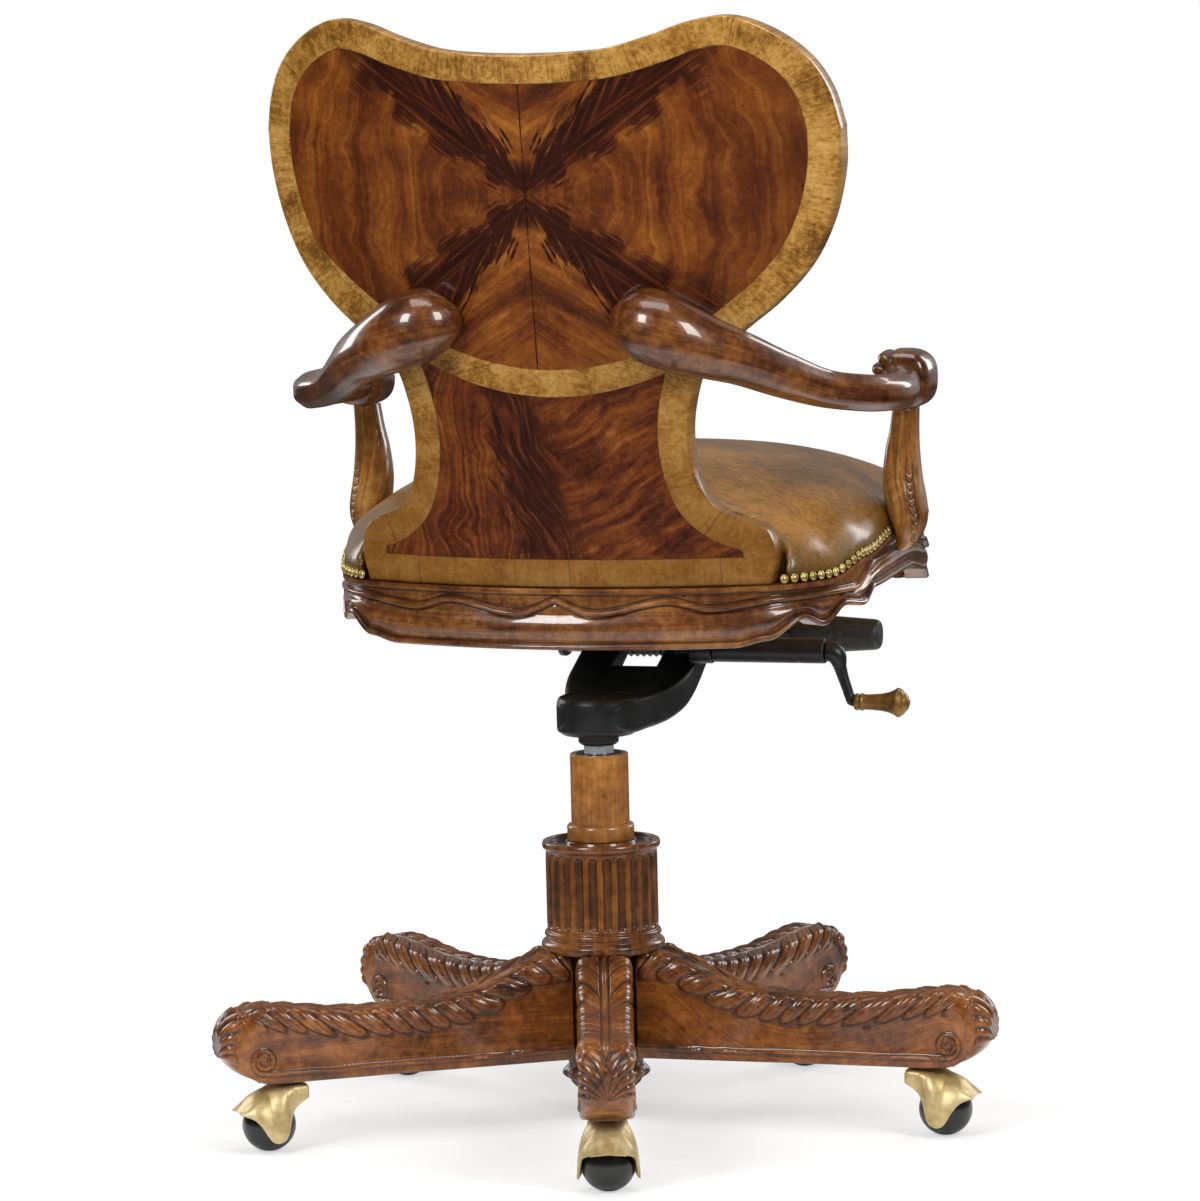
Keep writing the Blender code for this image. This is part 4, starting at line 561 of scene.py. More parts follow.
def build_drum():
    """Fluted drum: a moulded foot and rim, twenty-four hollows with rounded ends, a well round the collar."""
    outline = soften([(0.0253, 0.1663), (0.0568, 0.1663), (0.0582, 0.1690), (0.0582, 0.1735),
                      (0.0565, 0.1760), (0.0540, 0.1775), (0.0540, 0.1800), (0.0552, 0.1815),
                      (0.0545, 0.1845), (0.0522, 0.1860), (0.0522, 0.2615), (0.0536, 0.2625),
                      (0.0552, 0.2640), (0.0556, 0.2675), (0.0548, 0.2700), (0.0500, 0.2703),
                      (0.0492, 0.2664), (0.0344, 0.2662), (0.0332, 0.2703), (0.0253, 0.2703)], 0.0008)
    rows = []
    for a, b in zip(outline, outline[1:]):
        rows.append(a)
        if abs(b[1] - a[1]) > 0.05:
            for height in (*np.linspace(0.1868, 0.1940, 9), *np.linspace(0.2540, 0.2612, 9)):
                rows.append((DRUM_RADIUS, height))
    rows.append(outline[-1])
    well = [k for k, (radius, height) in enumerate(rows)
            if 0.033 < radius < 0.0498 and 0.2640 < height < 0.2685]
    low, high = min(well) / (len(rows) - 1), max(well) / (len(rows) - 1)

    def cut(angle, share, height):
        turn = np.abs(((angle * FLUTES / (2.0 * math.pi)) % 1.0) - 0.5) * 2.0
        hollow = np.clip(1.0 - (turn / 0.60) ** 2, 0.0, 1.0) ** 0.5
        ends = ease(0.1880, 0.1925, height) * ease(0.2600, 0.2555, height)
        lips = bump(turn - 0.78, 0.12) * ends
        depth = hollow * ends
        # Painted shade in the flutes and in the well round the collar; a painted highlight on the lips
        # between the flutes.
        dark = 0.95 * depth * ease(0.0, 0.35, hollow) * (0.45 + 0.55 * np.abs(turn) / 0.6)
        dark = np.maximum(dark, 0.95 * (share >= low) * (share <= high))
        return -0.0036 * depth + 0.0004 * lips, dark - 0.35 * lips

    piece("drum", turned(rows, 288, cut), DRUM_WOOD, "base", ["fluted_drum"])


def build_column():
    """Turned collar and sleeve over the gas lift, the bush at the top of its tube, and its rod."""
    for name, finish, body, slot, node, steps, easing, outline in (
            ("collar", SLEEVE_WOOD, "base", "mahogany", "column_collar", 96, 0.0006,
             [(0.0277, 0.2706), (0.0312, 0.2706), (0.0316, 0.2720), (0.0314, 0.2800), (0.0318, 0.2825),
              (0.0306, 0.2850), (0.0277, 0.2858)]),
            ("sleeve", SLEEVE_WOOD, "base", "sleeve_wood", "column_sleeve", 96, 0.0006,
             [(0.0253, 0.2706), (0.0274, 0.2706), (0.0274, 0.3512), (0.0266, 0.3521), (0.0253, 0.3521)]),
            ("bush", BLACK_GRIP, "base", "nylon", "tube_bush", 64, 0.0006,
             [(0.0143, 0.3018), (0.0227, 0.3018), (0.0227, 0.3518), (0.0210, 0.3526), (0.0143, 0.3526)]),
            ("cylinder", CHROME, "lift", "chrome", "gas_cylinder", 64, 0.0008,
             [(0.0, 0.1191), (0.0140, 0.1191), (0.0140, 0.3860), (0.0, 0.3860)])):
        piece(name, turned(soften(outline, easing), steps), finish, body, [node])


def build_hub():
    """Ten-sided hub with eased corners, over a pendant with a little leaf-shaped foot under each corner."""
    corner = HUB_FLAT / math.cos(math.pi / 10.0)
    hub = bmesh.new()
    bmesh.ops.create_circle(hub, cap_ends=True, segments=10, radius=corner)
    turn = FIRST_LEG + math.pi / 10.0 - math.pi / 2.0
    bmesh.ops.rotate(hub, verts=hub.verts, matrix=Matrix.Rotation(turn, 3, "Z"))
    thicken(hub, (0.0, 0.0, 0.0985))
    bmesh.ops.translate(hub, verts=hub.verts, vec=(0.0, 0.0, 0.0672))
    ease_edges(hub, hub.edges[:], 0.0012)
    upright = hub.loops.layers.uv.new("grain")
    for face in hub.faces:
        for loop in face.loops:
            spot = loop.vert.co
            loop[upright].uv = (spot.z, math.atan2(spot.y, spot.x) * HUB_FLAT)
    piece("hub", hub, DRUM_WOOD, "base", ["base_hub"], smooth=25.0)

    def brackets(angle, share, height):
        wave = 0.5 + 0.5 * np.cos((angle - FIRST_LEG - math.pi / 10.0) * 10.0)
        low = ease(0.0670, 0.0600, height) * ease(0.0330, 0.0400, height)
        # Painted shade between the little feet.
        return (wave - 0.6) * 0.0034 * low, (1.0 - wave) * low * 0.8

    outline = [(0.0, 0.0668), (0.0372, 0.0668), (0.0385, 0.0650), (0.0378, 0.0622), (0.0345, 0.0600),
               (0.0338, 0.0575), (0.0372, 0.0540), (0.0398, 0.0505), (0.0396, 0.0470), (0.0360, 0.0440),
               (0.0325, 0.0420), (0.0318, 0.0400), (0.0290, 0.0360), (0.0240, 0.0320), (0.0200, 0.0308),
               (0.0, 0.0307)]
    pendant = turned(outline, 160, brackets, samples=70)
    piece("pendant", pendant, DRUM_WOOD, "base", ["base_pendant"])


build_drum()
build_column()
build_hub()


# Back panel


def panel_face(x, z):
    """Rear face of the back: leaning back and bowed round the sitter."""
    return PANEL_FOOT + PANEL_LEAN * (z - PANEL_BOTTOM) - x * x / (2.0 * PANEL_BOW)


def panel_curves():
    """The side from foot to shoulder and the top from shoulder to the dip, x > 0."""
    side = [(0.707, 0.0), (0.725, 0.043), (0.721, 0.075), (0.692, 0.104), (0.601, 0.122), (0.528, 0.153),
            (0.490, 0.204), (0.479, 0.270), (0.497, 0.333), (0.536, 0.388), (0.612, 0.426), (0.678, 0.455),
            (0.783, 0.501), (0.885, 0.564), (0.954, 0.640), (0.993, 0.725), (1.0, 0.801)]
    top = [(1.0, 0.801), (0.971, 0.867), (0.911, 0.924), (0.810, 0.970), (0.687, 0.9965), (0.565, 0.990),
           (0.437, 0.967), (0.291, 0.946), (0.146, 0.939), (0.0, 0.937)]
    return [through(np.array(rows) * [PANEL_HALF, PANEL_HEIGHT]) for rows in (side, top)]


PANEL_SIDE, PANEL_TOP = panel_curves()


def panel_patch(u, v):
    """Places (x, height over the foot) on the panel, u from -1 to 1 across and v from 0 to 1 up."""
    edge = PANEL_SIDE(v)
    top = PANEL_TOP(1.0 - np.abs(u))
    x = u * edge[..., 0] + v * (np.sign(u) * top[..., 0] - u * PANEL_TOP(0.0)[0])
    z = edge[..., 1] + v * (top[..., 1] - PANEL_TOP(0.0)[1])
    return x, z


def rim_distance(x, z):
    """Distance in from the panel's rim, and the place round it, for rows of points."""
    half = np.vstack([PANEL_SIDE(spread(160)), PANEL_TOP(spread(90))[1:]])
    ring = np.vstack([[[0.0, 0.0]], half, half[::-1] * [-1.0, 1.0], [[0.0, 0.0]]])
    start, way = ring[:-1], np.diff(ring, axis=0)
    size = np.linalg.norm(way, axis=1)
    spot = np.stack([x, z], axis=-1).reshape(-1, 1, 2)
    share = np.clip(np.sum((spot - start) * way, axis=-1) / np.maximum(size ** 2, 1e-12), 0.0, 1.0)
    gap = np.linalg.norm(spot - start - way * share[..., None], axis=-1)
    nearest = gap.argmin(axis=1)
    rows = np.arange(len(nearest))
    return gap[rows, nearest], lengths(ring)[nearest] + size[nearest] * share[rows, nearest]


def build_panel():
    """The panel; its corners carry their distance from the rim, their way round it and their height over the
    belt that parts its two fields."""
    x, z = panel_patch(*np.meshgrid(np.linspace(-1.0, 1.0, 141), spread(141), indexing="ij"))
    z = z + PANEL_BOTTOM
    bm = formed(np.stack([x, panel_face(x, z), z], axis=-1))
    thicken(bm, (0.0, -PANEL_THICKNESS, 0.0))
    ease_edges(bm, [edge for edge in bm.edges if edge.is_manifold and edge.calc_face_angle() > 0.9], 0.0022)
    spots = np.array([vert.co for vert in bm.verts])
    edge, around = rim_distance(spots[:, 0], spots[:, 2] - PANEL_BOTTOM)
    belt = spots[:, 2] - (0.7150 + 0.05 * spots[:, 0] + 2.0 * spots[:, 0] ** 2)
    for name, values in (("edge", edge), ("around", around), ("belt", belt)):
        layer = bm.verts.layers.float.new(name)
        for vert, value in zip(bm.verts, values):
            vert[layer] = value
    figure = bm.loops.layers.uv["grain"]
    for face in bm.faces:
        for loop in face.loops:
            loop[figure].uv = (loop.vert.co.x, loop.vert.co.z)
    piece("back_panel_veneered", bm, VENEER, "seat", ["back_panel"], smooth=50.0)


def build_pad():
    """Leather pad on the front of the back, with a nailed edge."""
    u, v = np.meshgrid(np.linspace(-1.0, 1.0, 97), spread(97), indexing="ij")
    crown = (1.0 - np.abs(u) ** 5) * (1.0 - np.abs(2.0 * v - 1.0) ** 5)
    rise = 0.0055 + 0.0185 * crown
    rim = np.minimum(1.0 - np.abs(u), 1.0 - np.abs(2.0 * v - 1.0)) * 0.16
    rise = rise - 0.0050 * (1.0 - ease(0.0, 0.010, rim))
    x, z = panel_patch(u * (10.0 / 12.0), (3.0 + 10.0 * v) / 14.0)
    x, z = x * 0.975, z + PANEL_BOTTOM
    back = panel_face(x, z) - PANEL_THICKNESS - PAD_GAP
    # Painted shade along the pad's edge, where it rolls down to the panel.
    bm = formed(np.stack([x, back - rise, z], axis=-1), hollow=0.6 * (1.0 - ease(0.002, 0.030, rim)))
    for vert in thicken(bm):
        vert.co.y = panel_face(vert.co.x, vert.co.z) - PANEL_THICKNESS - PAD_GAP
    pad = piece("back_pad_leather", bm, LEATHER, "seat", ["back_pad"])
    sides = [(u[:, 0], v[:, 0]), (u[-1], v[-1]), (u[::-1, -1], v[::-1, -1]), (u[0, ::-1], v[0, ::-1])]
    ends_u, ends_v = np.concatenate(sides, axis=1)
    x, z = panel_patch(ends_u * (9.75 / 12.0), (3.15 + 9.7 * ends_v) / 14.0)
    x, z = x * 0.975, z + PANEL_BOTTOM
    run = through(np.stack([x, panel_face(x, z) - PANEL_THICKNESS - 0.0056, z], -1), rounded=False)
    count = int(run.length / 0.0112)
    nail_row("pad_nails", run(np.arange(count) / count), np.tile([0.0, -1.0, 0.0], (count, 1)))


def nail_row(name, places, outward):
    """A row of domed nails, each with its head 8.6 mm across."""
    row = bmesh.new()
    for spot, out in zip(places, outward):
        nail = bmesh.new()
        bmesh.ops.create_uvsphere(nail, u_segments=14, v_segments=8, radius=0.0044)
        whole = [*nail.verts, *nail.edges, *nail.faces]
        bmesh.ops.bisect_plane(nail, geom=whole, plane_co=(0.0, 0.0, -0.0002), plane_no=(0.0, 0.0, -1.0),
                               clear_outer=True)
        bmesh.ops.holes_fill(nail, edges=[edge for edge in nail.edges if edge.is_boundary], sides=0)
        bmesh.ops.scale(nail, verts=nail.verts, vec=(1.0, 1.0, 0.72))
        turn = Vector((0.0, 0.0, 1.0)).rotation_difference(Vector(out)).to_matrix()
        bmesh.ops.rotate(nail, verts=nail.verts, matrix=turn)
        bmesh.ops.translate(nail, verts=nail.verts, vec=Vector(spot))
        row = joined(row, nail)
    return piece(name, row, NAIL_BRASS, "seat", smooth=80.0)


build_panel()
build_pad()


# Seat rails, cushion and nails


CROWN_TOP = 0.6315
CLOTH = {"use_pressure": True, "uniform_pressure_force": 4.0, "quality": 4, "tension_stiffness": 25.0,
         "compression_stiffness": 25.0, "bending_stiffness": 20.0}


def plan_curve():
    """Outer edge of the rails from the middle of the rear to the middle of the front, x > 0."""
    bowed = SEAT_HALF * np.array([0.0, 0.2, 0.4, 0.6, 0.76])
    points = [(x, SEAT_REAR - x * x / (2.0 * PANEL_BOW)) for x in bowed]
    points += [(SEAT_HALF * a, SEAT_REAR - SEAT_DEPTH * b) for a, b in [
        (0.868, 0.142), (0.941, 0.216), (0.986, 0.305), (1.0, 0.405), (0.998, 0.505), (0.994, 0.600),
        (0.988, 0.705), (0.968, 0.830), (0.925, 0.915), (0.830, 0.958), (0.600, 0.968), (0.300, 0.988),
        (0.0, 1.0)]]
    return through(points)


PLAN = plan_curve()
RAIL_HIGH = [(0.0, 0.5227), (0.31, 0.5227), (0.39, 0.5356), (0.50, 0.5462), (0.72, 0.5439), (1.0, 0.5403)]
RAIL_LOW = [(0.0, 0.4657), (0.19, 0.4660), (0.225, 0.4715), (0.27, 0.4885), (0.300, 0.4800),
            (0.340, 0.4950), (0.385, 0.4910), (0.42, 0.5035), (0.58, 0.5062), (0.66, 0.4962),
            (0.70, 0.4830), (0.76, 0.4803), (0.80, 0.4880), (0.86, 0.4870), (0.93, 0.4743), (1.0, 0.4790)]
RAIL_WAVE = [(0.045, 0.4992), (0.121, 0.5105), (0.165, 0.5022), (0.243, 0.5095), (0.31, 0.5105),
             (0.36, 0.5100), (0.42, 0.5290), (0.58, 0.5330), (0.66, 0.5260), (0.70, 0.5150), (0.78, 0.5270),
             (0.84, 0.5270), (0.93, 0.5090)]


def round_seat(count):
    """Stations round the whole seat: share of the half plan, place on the outer edge, outward way."""
    s = np.linspace(-1.0, 1.0, count + 1)
    spots = PLAN(np.abs(s))
    spots[:, 0] *= np.sign(s)
    way = np.gradient(spots, axis=0)
    way[0] = way[-1] = (-1.0, 0.0)
    way = unit(way)
    return np.abs(s), spots, np.stack([-way[:, 1], way[:, 0]], axis=-1)


def build_rails():
    """The carved rails as one ring: a lip, a wavy bead between two quirks, a belly and a bead at the foot."""
    t, spots, out = round_seat(800)
    high, low, crest = (between(rows, t) for rows in (RAIL_HIGH, RAIL_LOW, RAIL_WAVE))
    # The wave rises to a rounded point in the middle of the rear and of the front
    rear, front = np.clip((np.hypot(t, 0.003) - 0.003) / 0.042, 0.0, 1.0), np.clip((1.0 - t) / 0.07, 0.0, 1.0)
    crest = np.where(t < 0.045, 0.5117 - 0.0125 * np.sin(np.pi / 2.0 * rear), crest)
    crest = np.where(t > 0.93, 0.5230 - 0.0140 * np.sin(np.pi / 2.0 * front), crest)
    flowing = np.convolve(np.pad(crest, 20, mode="wrap"), np.ones(41) / 41.0, mode="valid")
    high, low, crest, flowing = (row[:, None] for row in (high, low, crest, flowing))
    z = high - (high - low) * spread(96)
    above = z - crest
    drop, foot = high - z, z - low
    bead = bump(above, 0.0025, 4)
    quirks = bump(above - 0.0040, 0.0010) + bump(above + 0.0040, 0.0010)
    room = np.maximum(flowing - 0.006 - low - 0.009, 0.004)
    belly = np.sin(np.pi * np.clip((foot - 0.009) / room, 0.0, 1.0)) * (foot > 0.009)
    foot_bead = np.sqrt(np.clip(1.0 - ((foot - 0.0028) / 0.0030) ** 2, 0.0, 1.0)) * (foot < 0.006)
    lip = 1.0 - ease(0.0045, 0.0065, drop)
    rises = np.maximum.reduce([0.0034 * belly, 0.0048 * bead, 0.0036 * lip, 0.0042 * foot_bead])
    offset = rises - 0.0042 - 0.0008 * quirks
    # Painted shade in the quirks, under the lip and over the foot bead; a painted highlight on the wavy bead.
    hollow = 0.95 * np.clip(quirks, 0.0, 1.0) * (bead < 0.5) - 0.30 * bead
    hollow = np.maximum.reduce([hollow, 0.8 * bump(foot - 0.0062, 0.0011),
                                0.55 * bump(drop - 0.0062, 0.0012)])
    # Under, behind and over, back to the first row
    ones = np.ones((len(t), 1))
    offset = np.hstack([offset, *(-depth * ones for depth in (0.004, 0.023, 0.023, 0.003)), offset[:, :1]])
    z = np.hstack([z, low, low, high, high, z[:, :1]])
    hollow = np.hstack([hollow, np.zeros((len(t), 5))])
    points = np.stack([spots[:, :1] + out[:, :1] * offset, spots[:, 1:] + out[:, 1:] * offset, z], axis=-1)
    points[0] = points[-1] = (points[0] + points[-1]) / 2.0
    piece("seat_rails_carved", formed(points, hollow=hollow, closed=True), RAIL_WOOD, "seat",
          ["rear_rail", "left_rail", "right_rail", "front_rail"])


def clear_of_panel(points, half, gap):
    """Keeps leather in front of the back panel's foot."""
    limit = panel_face(points[..., 0], points[..., 2]) - PANEL_THICKNESS - gap
    near = np.abs(points[..., 0]) < half + 0.004
    points[..., 1] = np.where(near, np.minimum(points[..., 1], limit), points[..., 1])


def cushion_rings(count, sides, crown):
    """Rings of the seat cushion from under its edge up and over to its middle."""
    t, spots, out = round_seat(count)
    rail = between(RAIL_HIGH, t) + 0.0003
    rings = [np.column_stack([spots - out * inward, rail + height]) for inward, height in sides]
    middle = np.array([0.0, SEAT_REAR - SEAT_DEPTH * 0.5])
    edge, side = rings[-1][:, :2], rings[-1][:, 2]
    for share in crown:
        height = side + (CROWN_TOP - side) * (1.0 - share ** 2.5) ** 0.85
        rings.append(np.column_stack([middle + (edge - middle) * share, height]))
    rings = np.array(rings)
    clear_of_panel(rings, PANEL_SIDE(0.1)[0], 0.0030)
    return rings


def over_rail(local):
    """How high points stand over the top of the rail nearest to them."""
    t, plan, _ = round_seat(800)
    rises = []
    for some in np.array_split(local, len(local) // 20000 + 1):
        nearest = np.linalg.norm(some[:, None, :2] - plan[None, ::4], axis=-1).argmin(axis=1) * 4
        rises.append(some[:, 2] - between(RAIL_HIGH, t[nearest]))
    return np.concatenate(rises)


def build_cushion():
    """The leather cushion: turned in under its edge, upright for 25 mm, then crowned."""
    sides = [(0.030, -0.004), (0.012, -0.0002), (0.0040, 0.0000), (0.0022, 0.0050), (0.0020, 0.0120),
             (0.0030, 0.0190), (0.0055, 0.0250)]
    crown = [0.985, 0.965, 0.94, 0.91, 0.87, 0.82, 0.76, 0.69, 0.61, 0.52, 0.42, 0.31, 0.20, 0.10, 0.04]
    bm = formed(cushion_rings(240, sides, crown)[::-1], closed=True)
    cushion = piece("seat_cushion_leather", bm, LEATHER, "seat", ["seat_cushion"], smooth=60.0)
    swell(cushion)


def build_seat_nails():
    """Nails 11 mm apart along the cushion's foot, but for the back panel and the posts."""
    t, spots, out = round_seat(4000)
    run = lengths(spots)
    places, ways = [], []
    for k in np.searchsorted(run, np.arange(0.0055, run[-1], 0.0110)):
        behind_panel = abs(spots[k, 0]) < FOOT_HALF and spots[k, 1] > 0.0
        in_post = abs(spots[k, 1] - POST_PLACE) < 0.020 and abs(spots[k, 0]) > 0.2
        if not (behind_panel or in_post):
            places.append((*(spots[k] - out[k] * 0.0020), between(RAIL_HIGH, t[k]) + 0.0052))
            ways.append((*out[k], 0.15))
    nail_row("seat_nails", places, ways)


def swell(item):
    """Fills a cushion with air as cloth, eases its folds, rounds it once and paints shade on its low edge."""
    top = max(vert.co.z for vert in item.data.vertices)
    remesh = item.modifiers.new("remesh", "REMESH")
    remesh.mode = "VOXEL"
    remesh.voxel_size = 0.0055
    start = bake_modifiers(item)
    held = item.vertex_groups.new(name="held")
    nailed = np.flatnonzero(over_rail(start - np.array(COLUMN)) < 0.006)
    held.add(nailed.tolist(), 1.0, "REPLACE")
    cloth = item.modifiers.new("cloth", "CLOTH")
    for key, value in CLOTH.items():
        setattr(cloth.settings, key, value)
    cloth.settings.effector_weights.gravity = 0.0
    cloth.settings.vertex_group_mass = "held"
    for step in range(1, 21):
        bpy.context.scene.frame_set(step)
    move = 0.7 * (bake_modifiers(item) - start)
    bpy.context.scene.frame_set(1)
    # No corner moves by more than 12 mm, over the crown or into the panel
    size = np.linalg.norm(move, axis=1, keepdims=True)
    after = start + move * np.minimum(1.0, 0.012 / np.maximum(size, 1e-9))
    after[:, 2] = np.minimum(after[:, 2], top + 0.006)
    after -= np.array(COLUMN)
    clear_of_panel(after, FOOT_HALF, 0.0026)
    after += np.array(COLUMN)
    item.data.vertices.foreach_set("co", after.reshape(-1))
    settle = item.modifiers.new("settle", "SMOOTH")
    settle.factor = 0.5
    settle.iterations = 10
    rounding = item.modifiers.new("round", "SUBSURF")
    rounding.levels = rounding.render_levels = 1
    rise = over_rail(bake_modifiers(item) - np.array(COLUMN))
    item.data.shade_smooth()
    # Painted shade on the leather low down by the rail, fading out 55 mm above it.
    mark = item.data.attributes.new("hollow", "FLOAT", "POINT")
    mark.data.foreach_set("value", 0.62 * (1.0 - ease(0.004, 0.055, rise)))


build_rails()
build_cushion()
build_seat_nails()


# Arms, hand-holds and posts

RAIL_EDGE = PLAN(np.linspace(0.4, 0.6, 50))[:, 0].max()


def tube(rows, around, relief):
    """A round bar through rows of (x, y, z, radius), with a carved relief(share, angle)."""
    spots = rows[:, :3]
    way = unit(np.gradient(spots, axis=0))
    side = unit(np.cross(way, [0.0, 0.0, 1.0]))
    lift = np.cross(side, way)
    angle = 2.0 * np.pi * spread(around + 1)[None, :]
    cut, hollow = relief(spread(len(rows))[:, None], angle)
    radius = rows[:, 3:] + cut
    ring = side[:, None] * np.cos(angle)[..., None] + lift[:, None] * np.sin(angle)[..., None]
    grain = np.stack(np.meshgrid(lengths(spots), 0.12 * spread(around + 1), indexing="ij"), axis=-1)
    return formed(spots[:, None] + radius[..., None] * ring, grain, hollow, closed=True)


def build_arms():
    """Each arm: a knuckle on the back, a bar that thins as it comes forward, a hand-hold over the post."""
    z, k, a = 0.6907, 0.034, 0.017  # height of the bar, radius of the knuckle and of the bar
    rows = [(0.087, 0.150, z + 0.0840, 0.004), (0.087, 0.153, z + 0.0838, k * 0.30),
            (0.0885, 0.1575, z + 0.0830, k * 0.62), (0.095, 0.163, z + 0.0815, k * 0.86),
            (0.106, 0.167, z + 0.0795, k), (0.119, 0.1685, z + 0.0745, k * 1.02),
            (0.136, 0.165, z + 0.0665, k * 0.95), (0.158, 0.151, z + 0.0565, k * 0.84),
            (0.184, 0.126, z + 0.0440, k * 0.71), (0.210, 0.090, z + 0.0270, a * 1.22),
            (0.238, 0.050, z + 0.0110, a * 1.03), (0.269, 0.013, z + 0.0030, a), (0.283, -0.025, z, a),
            (0.281, -0.065, z - 0.001, a * 1.06), (0.273, -0.098, z, a * 1.12),
            (0.2665, -0.122, z + 0.001, a * 1.10), (0.2655, -0.132, z + 0.002, a * 0.7),
            (0.2655, -0.1345, z + 0.002, 0.003)]
    centre = RAIL_EDGE + 0.0130
    hold = [(centre, -0.1060, z + 0.003, 0.002), (centre, -0.1063, z + 0.003, 0.0150),
            (centre, -0.1085, z + 0.003, 0.0222), (centre, -0.1140, z + 0.003, 0.0262),
            (centre, -0.1230, z + 0.003, 0.0276), (centre, -0.1370, z + 0.003, 0.0280),
            (centre, -0.1500, z + 0.002, 0.0268), (centre, -0.1600, z + 0.001, 0.0236),
            (centre, -0.1660, z, 0.0165), (centre, -0.1680, z, 0.0080), (centre, -0.1682, z, 0.002)]

    def arm_relief(share, angle):
        # A soft ridge over the knuckle that runs out along the arm, and flats left by the spokeshave
        ridge = 0.0012 * bump(angle - 1.9, 0.22) * ease(0.08, 0.2, share) * ease(0.62, 0.42, share)
        flats = 0.0005 * np.cos(angle * 7.0 + share * 9.0) * np.sin(np.pi * share)
        return ridge + flats, np.zeros_like(angle + share)

    def hold_relief(share, angle):
        # A squared block whose top, towards the sitter, is cut into two fingers beside one broad one, with
        # painted shade in the cuts
        square = (np.abs(np.cos(angle)) ** 2.7 + np.abs(np.sin(angle)) ** 2.7) ** (-1.0 / 2.7) - 1.0
        cuts = sum(bump(angle - at, 0.085) for at in (0.12, 0.62, 1.16))
        plump = 0.0018 * np.abs(np.sin((angle - 0.12) * np.pi / 0.52))
        plump = plump * ease(0.10, 0.20, angle) * ease(1.20, 1.12, angle)
        fade = ease(0.06, 0.14, share) * ease(0.97, 0.84, share)
        thick = 0.0278 * square * ease(0.0, 0.2, share) * ease(1.0, 0.8, share)
        return thick + (plump - 0.0044 * cuts) * fade, 0.85 * cuts * fade

    for name, mirror in (("left", 1.0), ("right", -1.0)):
        arm = tube(through(rows)(spread(220)), 64, arm_relief)
        block = tube(through(hold)(spread(90)), 160, hold_relief)
        # The block's underside is flat where the post meets it.
        for vert in block.verts:
            vert.co.z = max(vert.co.z, z - 0.0252)
        bm = joined(arm, block)
        if mirror < 0.0:
            bmesh.ops.scale(bm, verts=bm.verts, vec=(-1.0, 1.0, 1.0))
            bmesh.ops.reverse_faces(bm, faces=bm.faces)
        piece(f"{name}_arm_carved", bm, ARM_WOOD, "seat", [f"{name}_arm"])


def build_posts():
    """Each post: a baluster with a ridge on its back and front, and half-moon cuts over a small scroll."""
    foot, head, count, around = 0.5285, 0.6655, 240, 200
    # Height, inner side, outer side and depth
    rows = [(0.5285, 0.2568, 0.2600, 0.006), (0.5294, 0.2566, 0.2650, 0.017),
            (0.5318, 0.2564, 0.2694, 0.026), (0.5370, 0.2563, 0.2748, 0.034),
            (0.5450, 0.2563, 0.2800, 0.042), (0.5550, 0.2532, 0.2838, 0.048),
            (0.5660, 0.2492, 0.2852, 0.050), (0.5800, 0.2462, 0.2840, 0.049),
            (0.6000, 0.2448, 0.2808, 0.044), (0.6250, 0.2475, 0.2790, 0.037),
            (0.6450, 0.2520, 0.2788, 0.0325), (0.6660, 0.2555, 0.2795, 0.031)]
    heights = foot + (head - foot) * spread(count + 1)[:, None] ** 1.2
    run = through(rows)(spread(400)).T
    inner, outer, deep = (np.interp(heights, run[0], side) for side in run[1:])
    angle = 2.0 * np.pi * spread(around + 1)[None, :]
    c, s = (np.sign(wave) * np.abs(wave) ** 0.80 for wave in (np.cos(angle), np.sin(angle)))
    pz = np.repeat(heights, around + 1, axis=1)
    px, py = (inner + outer) / 2.0 + (outer - inner) / 2.0 * c, POST_PLACE + deep / 2.0 * s
    base = np.stack([px, py, pz], axis=-1)
    steps = np.cumsum(np.linalg.norm(np.diff(base, axis=1), axis=-1), axis=1)
    run = np.hstack([np.zeros((count + 1, 1)), steps])
    relief = hollow = np.zeros_like(pz)
    for sign, quarter in ((1.0, around // 4), (-1.0, 3 * around // 4)):
        # A ridge up the middle, a flat beside it, and near the outer corner the cuts between two lines, all
        # cuts and lines with painted shade
        off = (run - run[:, quarter:quarter + 1]) * sign
        outside = off + 0.0122
        part = ((pz - 0.548) / 0.0078) % 1.0 - 0.5
        moon = bump(np.hypot(outside, part * 0.0078) - 0.0024, 0.0008) * (part < 0.18)
        rise = pz - 0.5425
        radius = np.hypot(outside, rise)
        coil = (radius - 0.0010 * (np.arctan2(rise, outside) / np.pi)) % 0.0028 - 0.0014
        relief = relief + 0.0012 * bump(off, 0.0012) * ease(0.575, 0.60, pz)
        relief = relief - 0.0010 * bump(np.abs(off) - 0.0065, 0.0040) * ease(0.58, 0.61, pz)
        lined = ease(0.546, 0.550, pz) * ease(0.622, 0.615, pz)
        for cut, deepness, dark in ((bump(outside + 0.0044, 0.0009) * lined, 0.0011, 0.9),
                                    (bump(outside - 0.0040, 0.0007) * lined, 0.0008, 0.6),
                                    (moon * ease(0.550, 0.553, pz) * ease(0.606, 0.603, pz), 0.0013, 1.0),
                                    (bump(coil, 0.0006) * (radius < 0.0062), 0.0011, 0.9)):
            relief = relief - deepness * cut
            hollow = np.maximum(hollow, dark * cut)
    fade = ease(foot, foot + 0.008, pz) * ease(head, head - 0.003, pz)
    points = base + outward_normals(base) * (relief * fade)[..., None]
    clear = np.maximum(points[..., 0], RAIL_EDGE + 0.0003)
    points[..., 0] = np.where(points[..., 2] < 0.5475, clear, points[..., 0])
    for name, mirror in (("left", 1.0), ("right", -1.0)):
        bm = formed(points * [mirror, 1.0, 1.0], np.stack([pz, run], axis=-1), hollow * fade, closed=True)
        piece(f"{name}_post_carved", bm, POST_WOOD, "seat", [f"{name}_post"])


build_arms()
build_posts()


# Carved legs


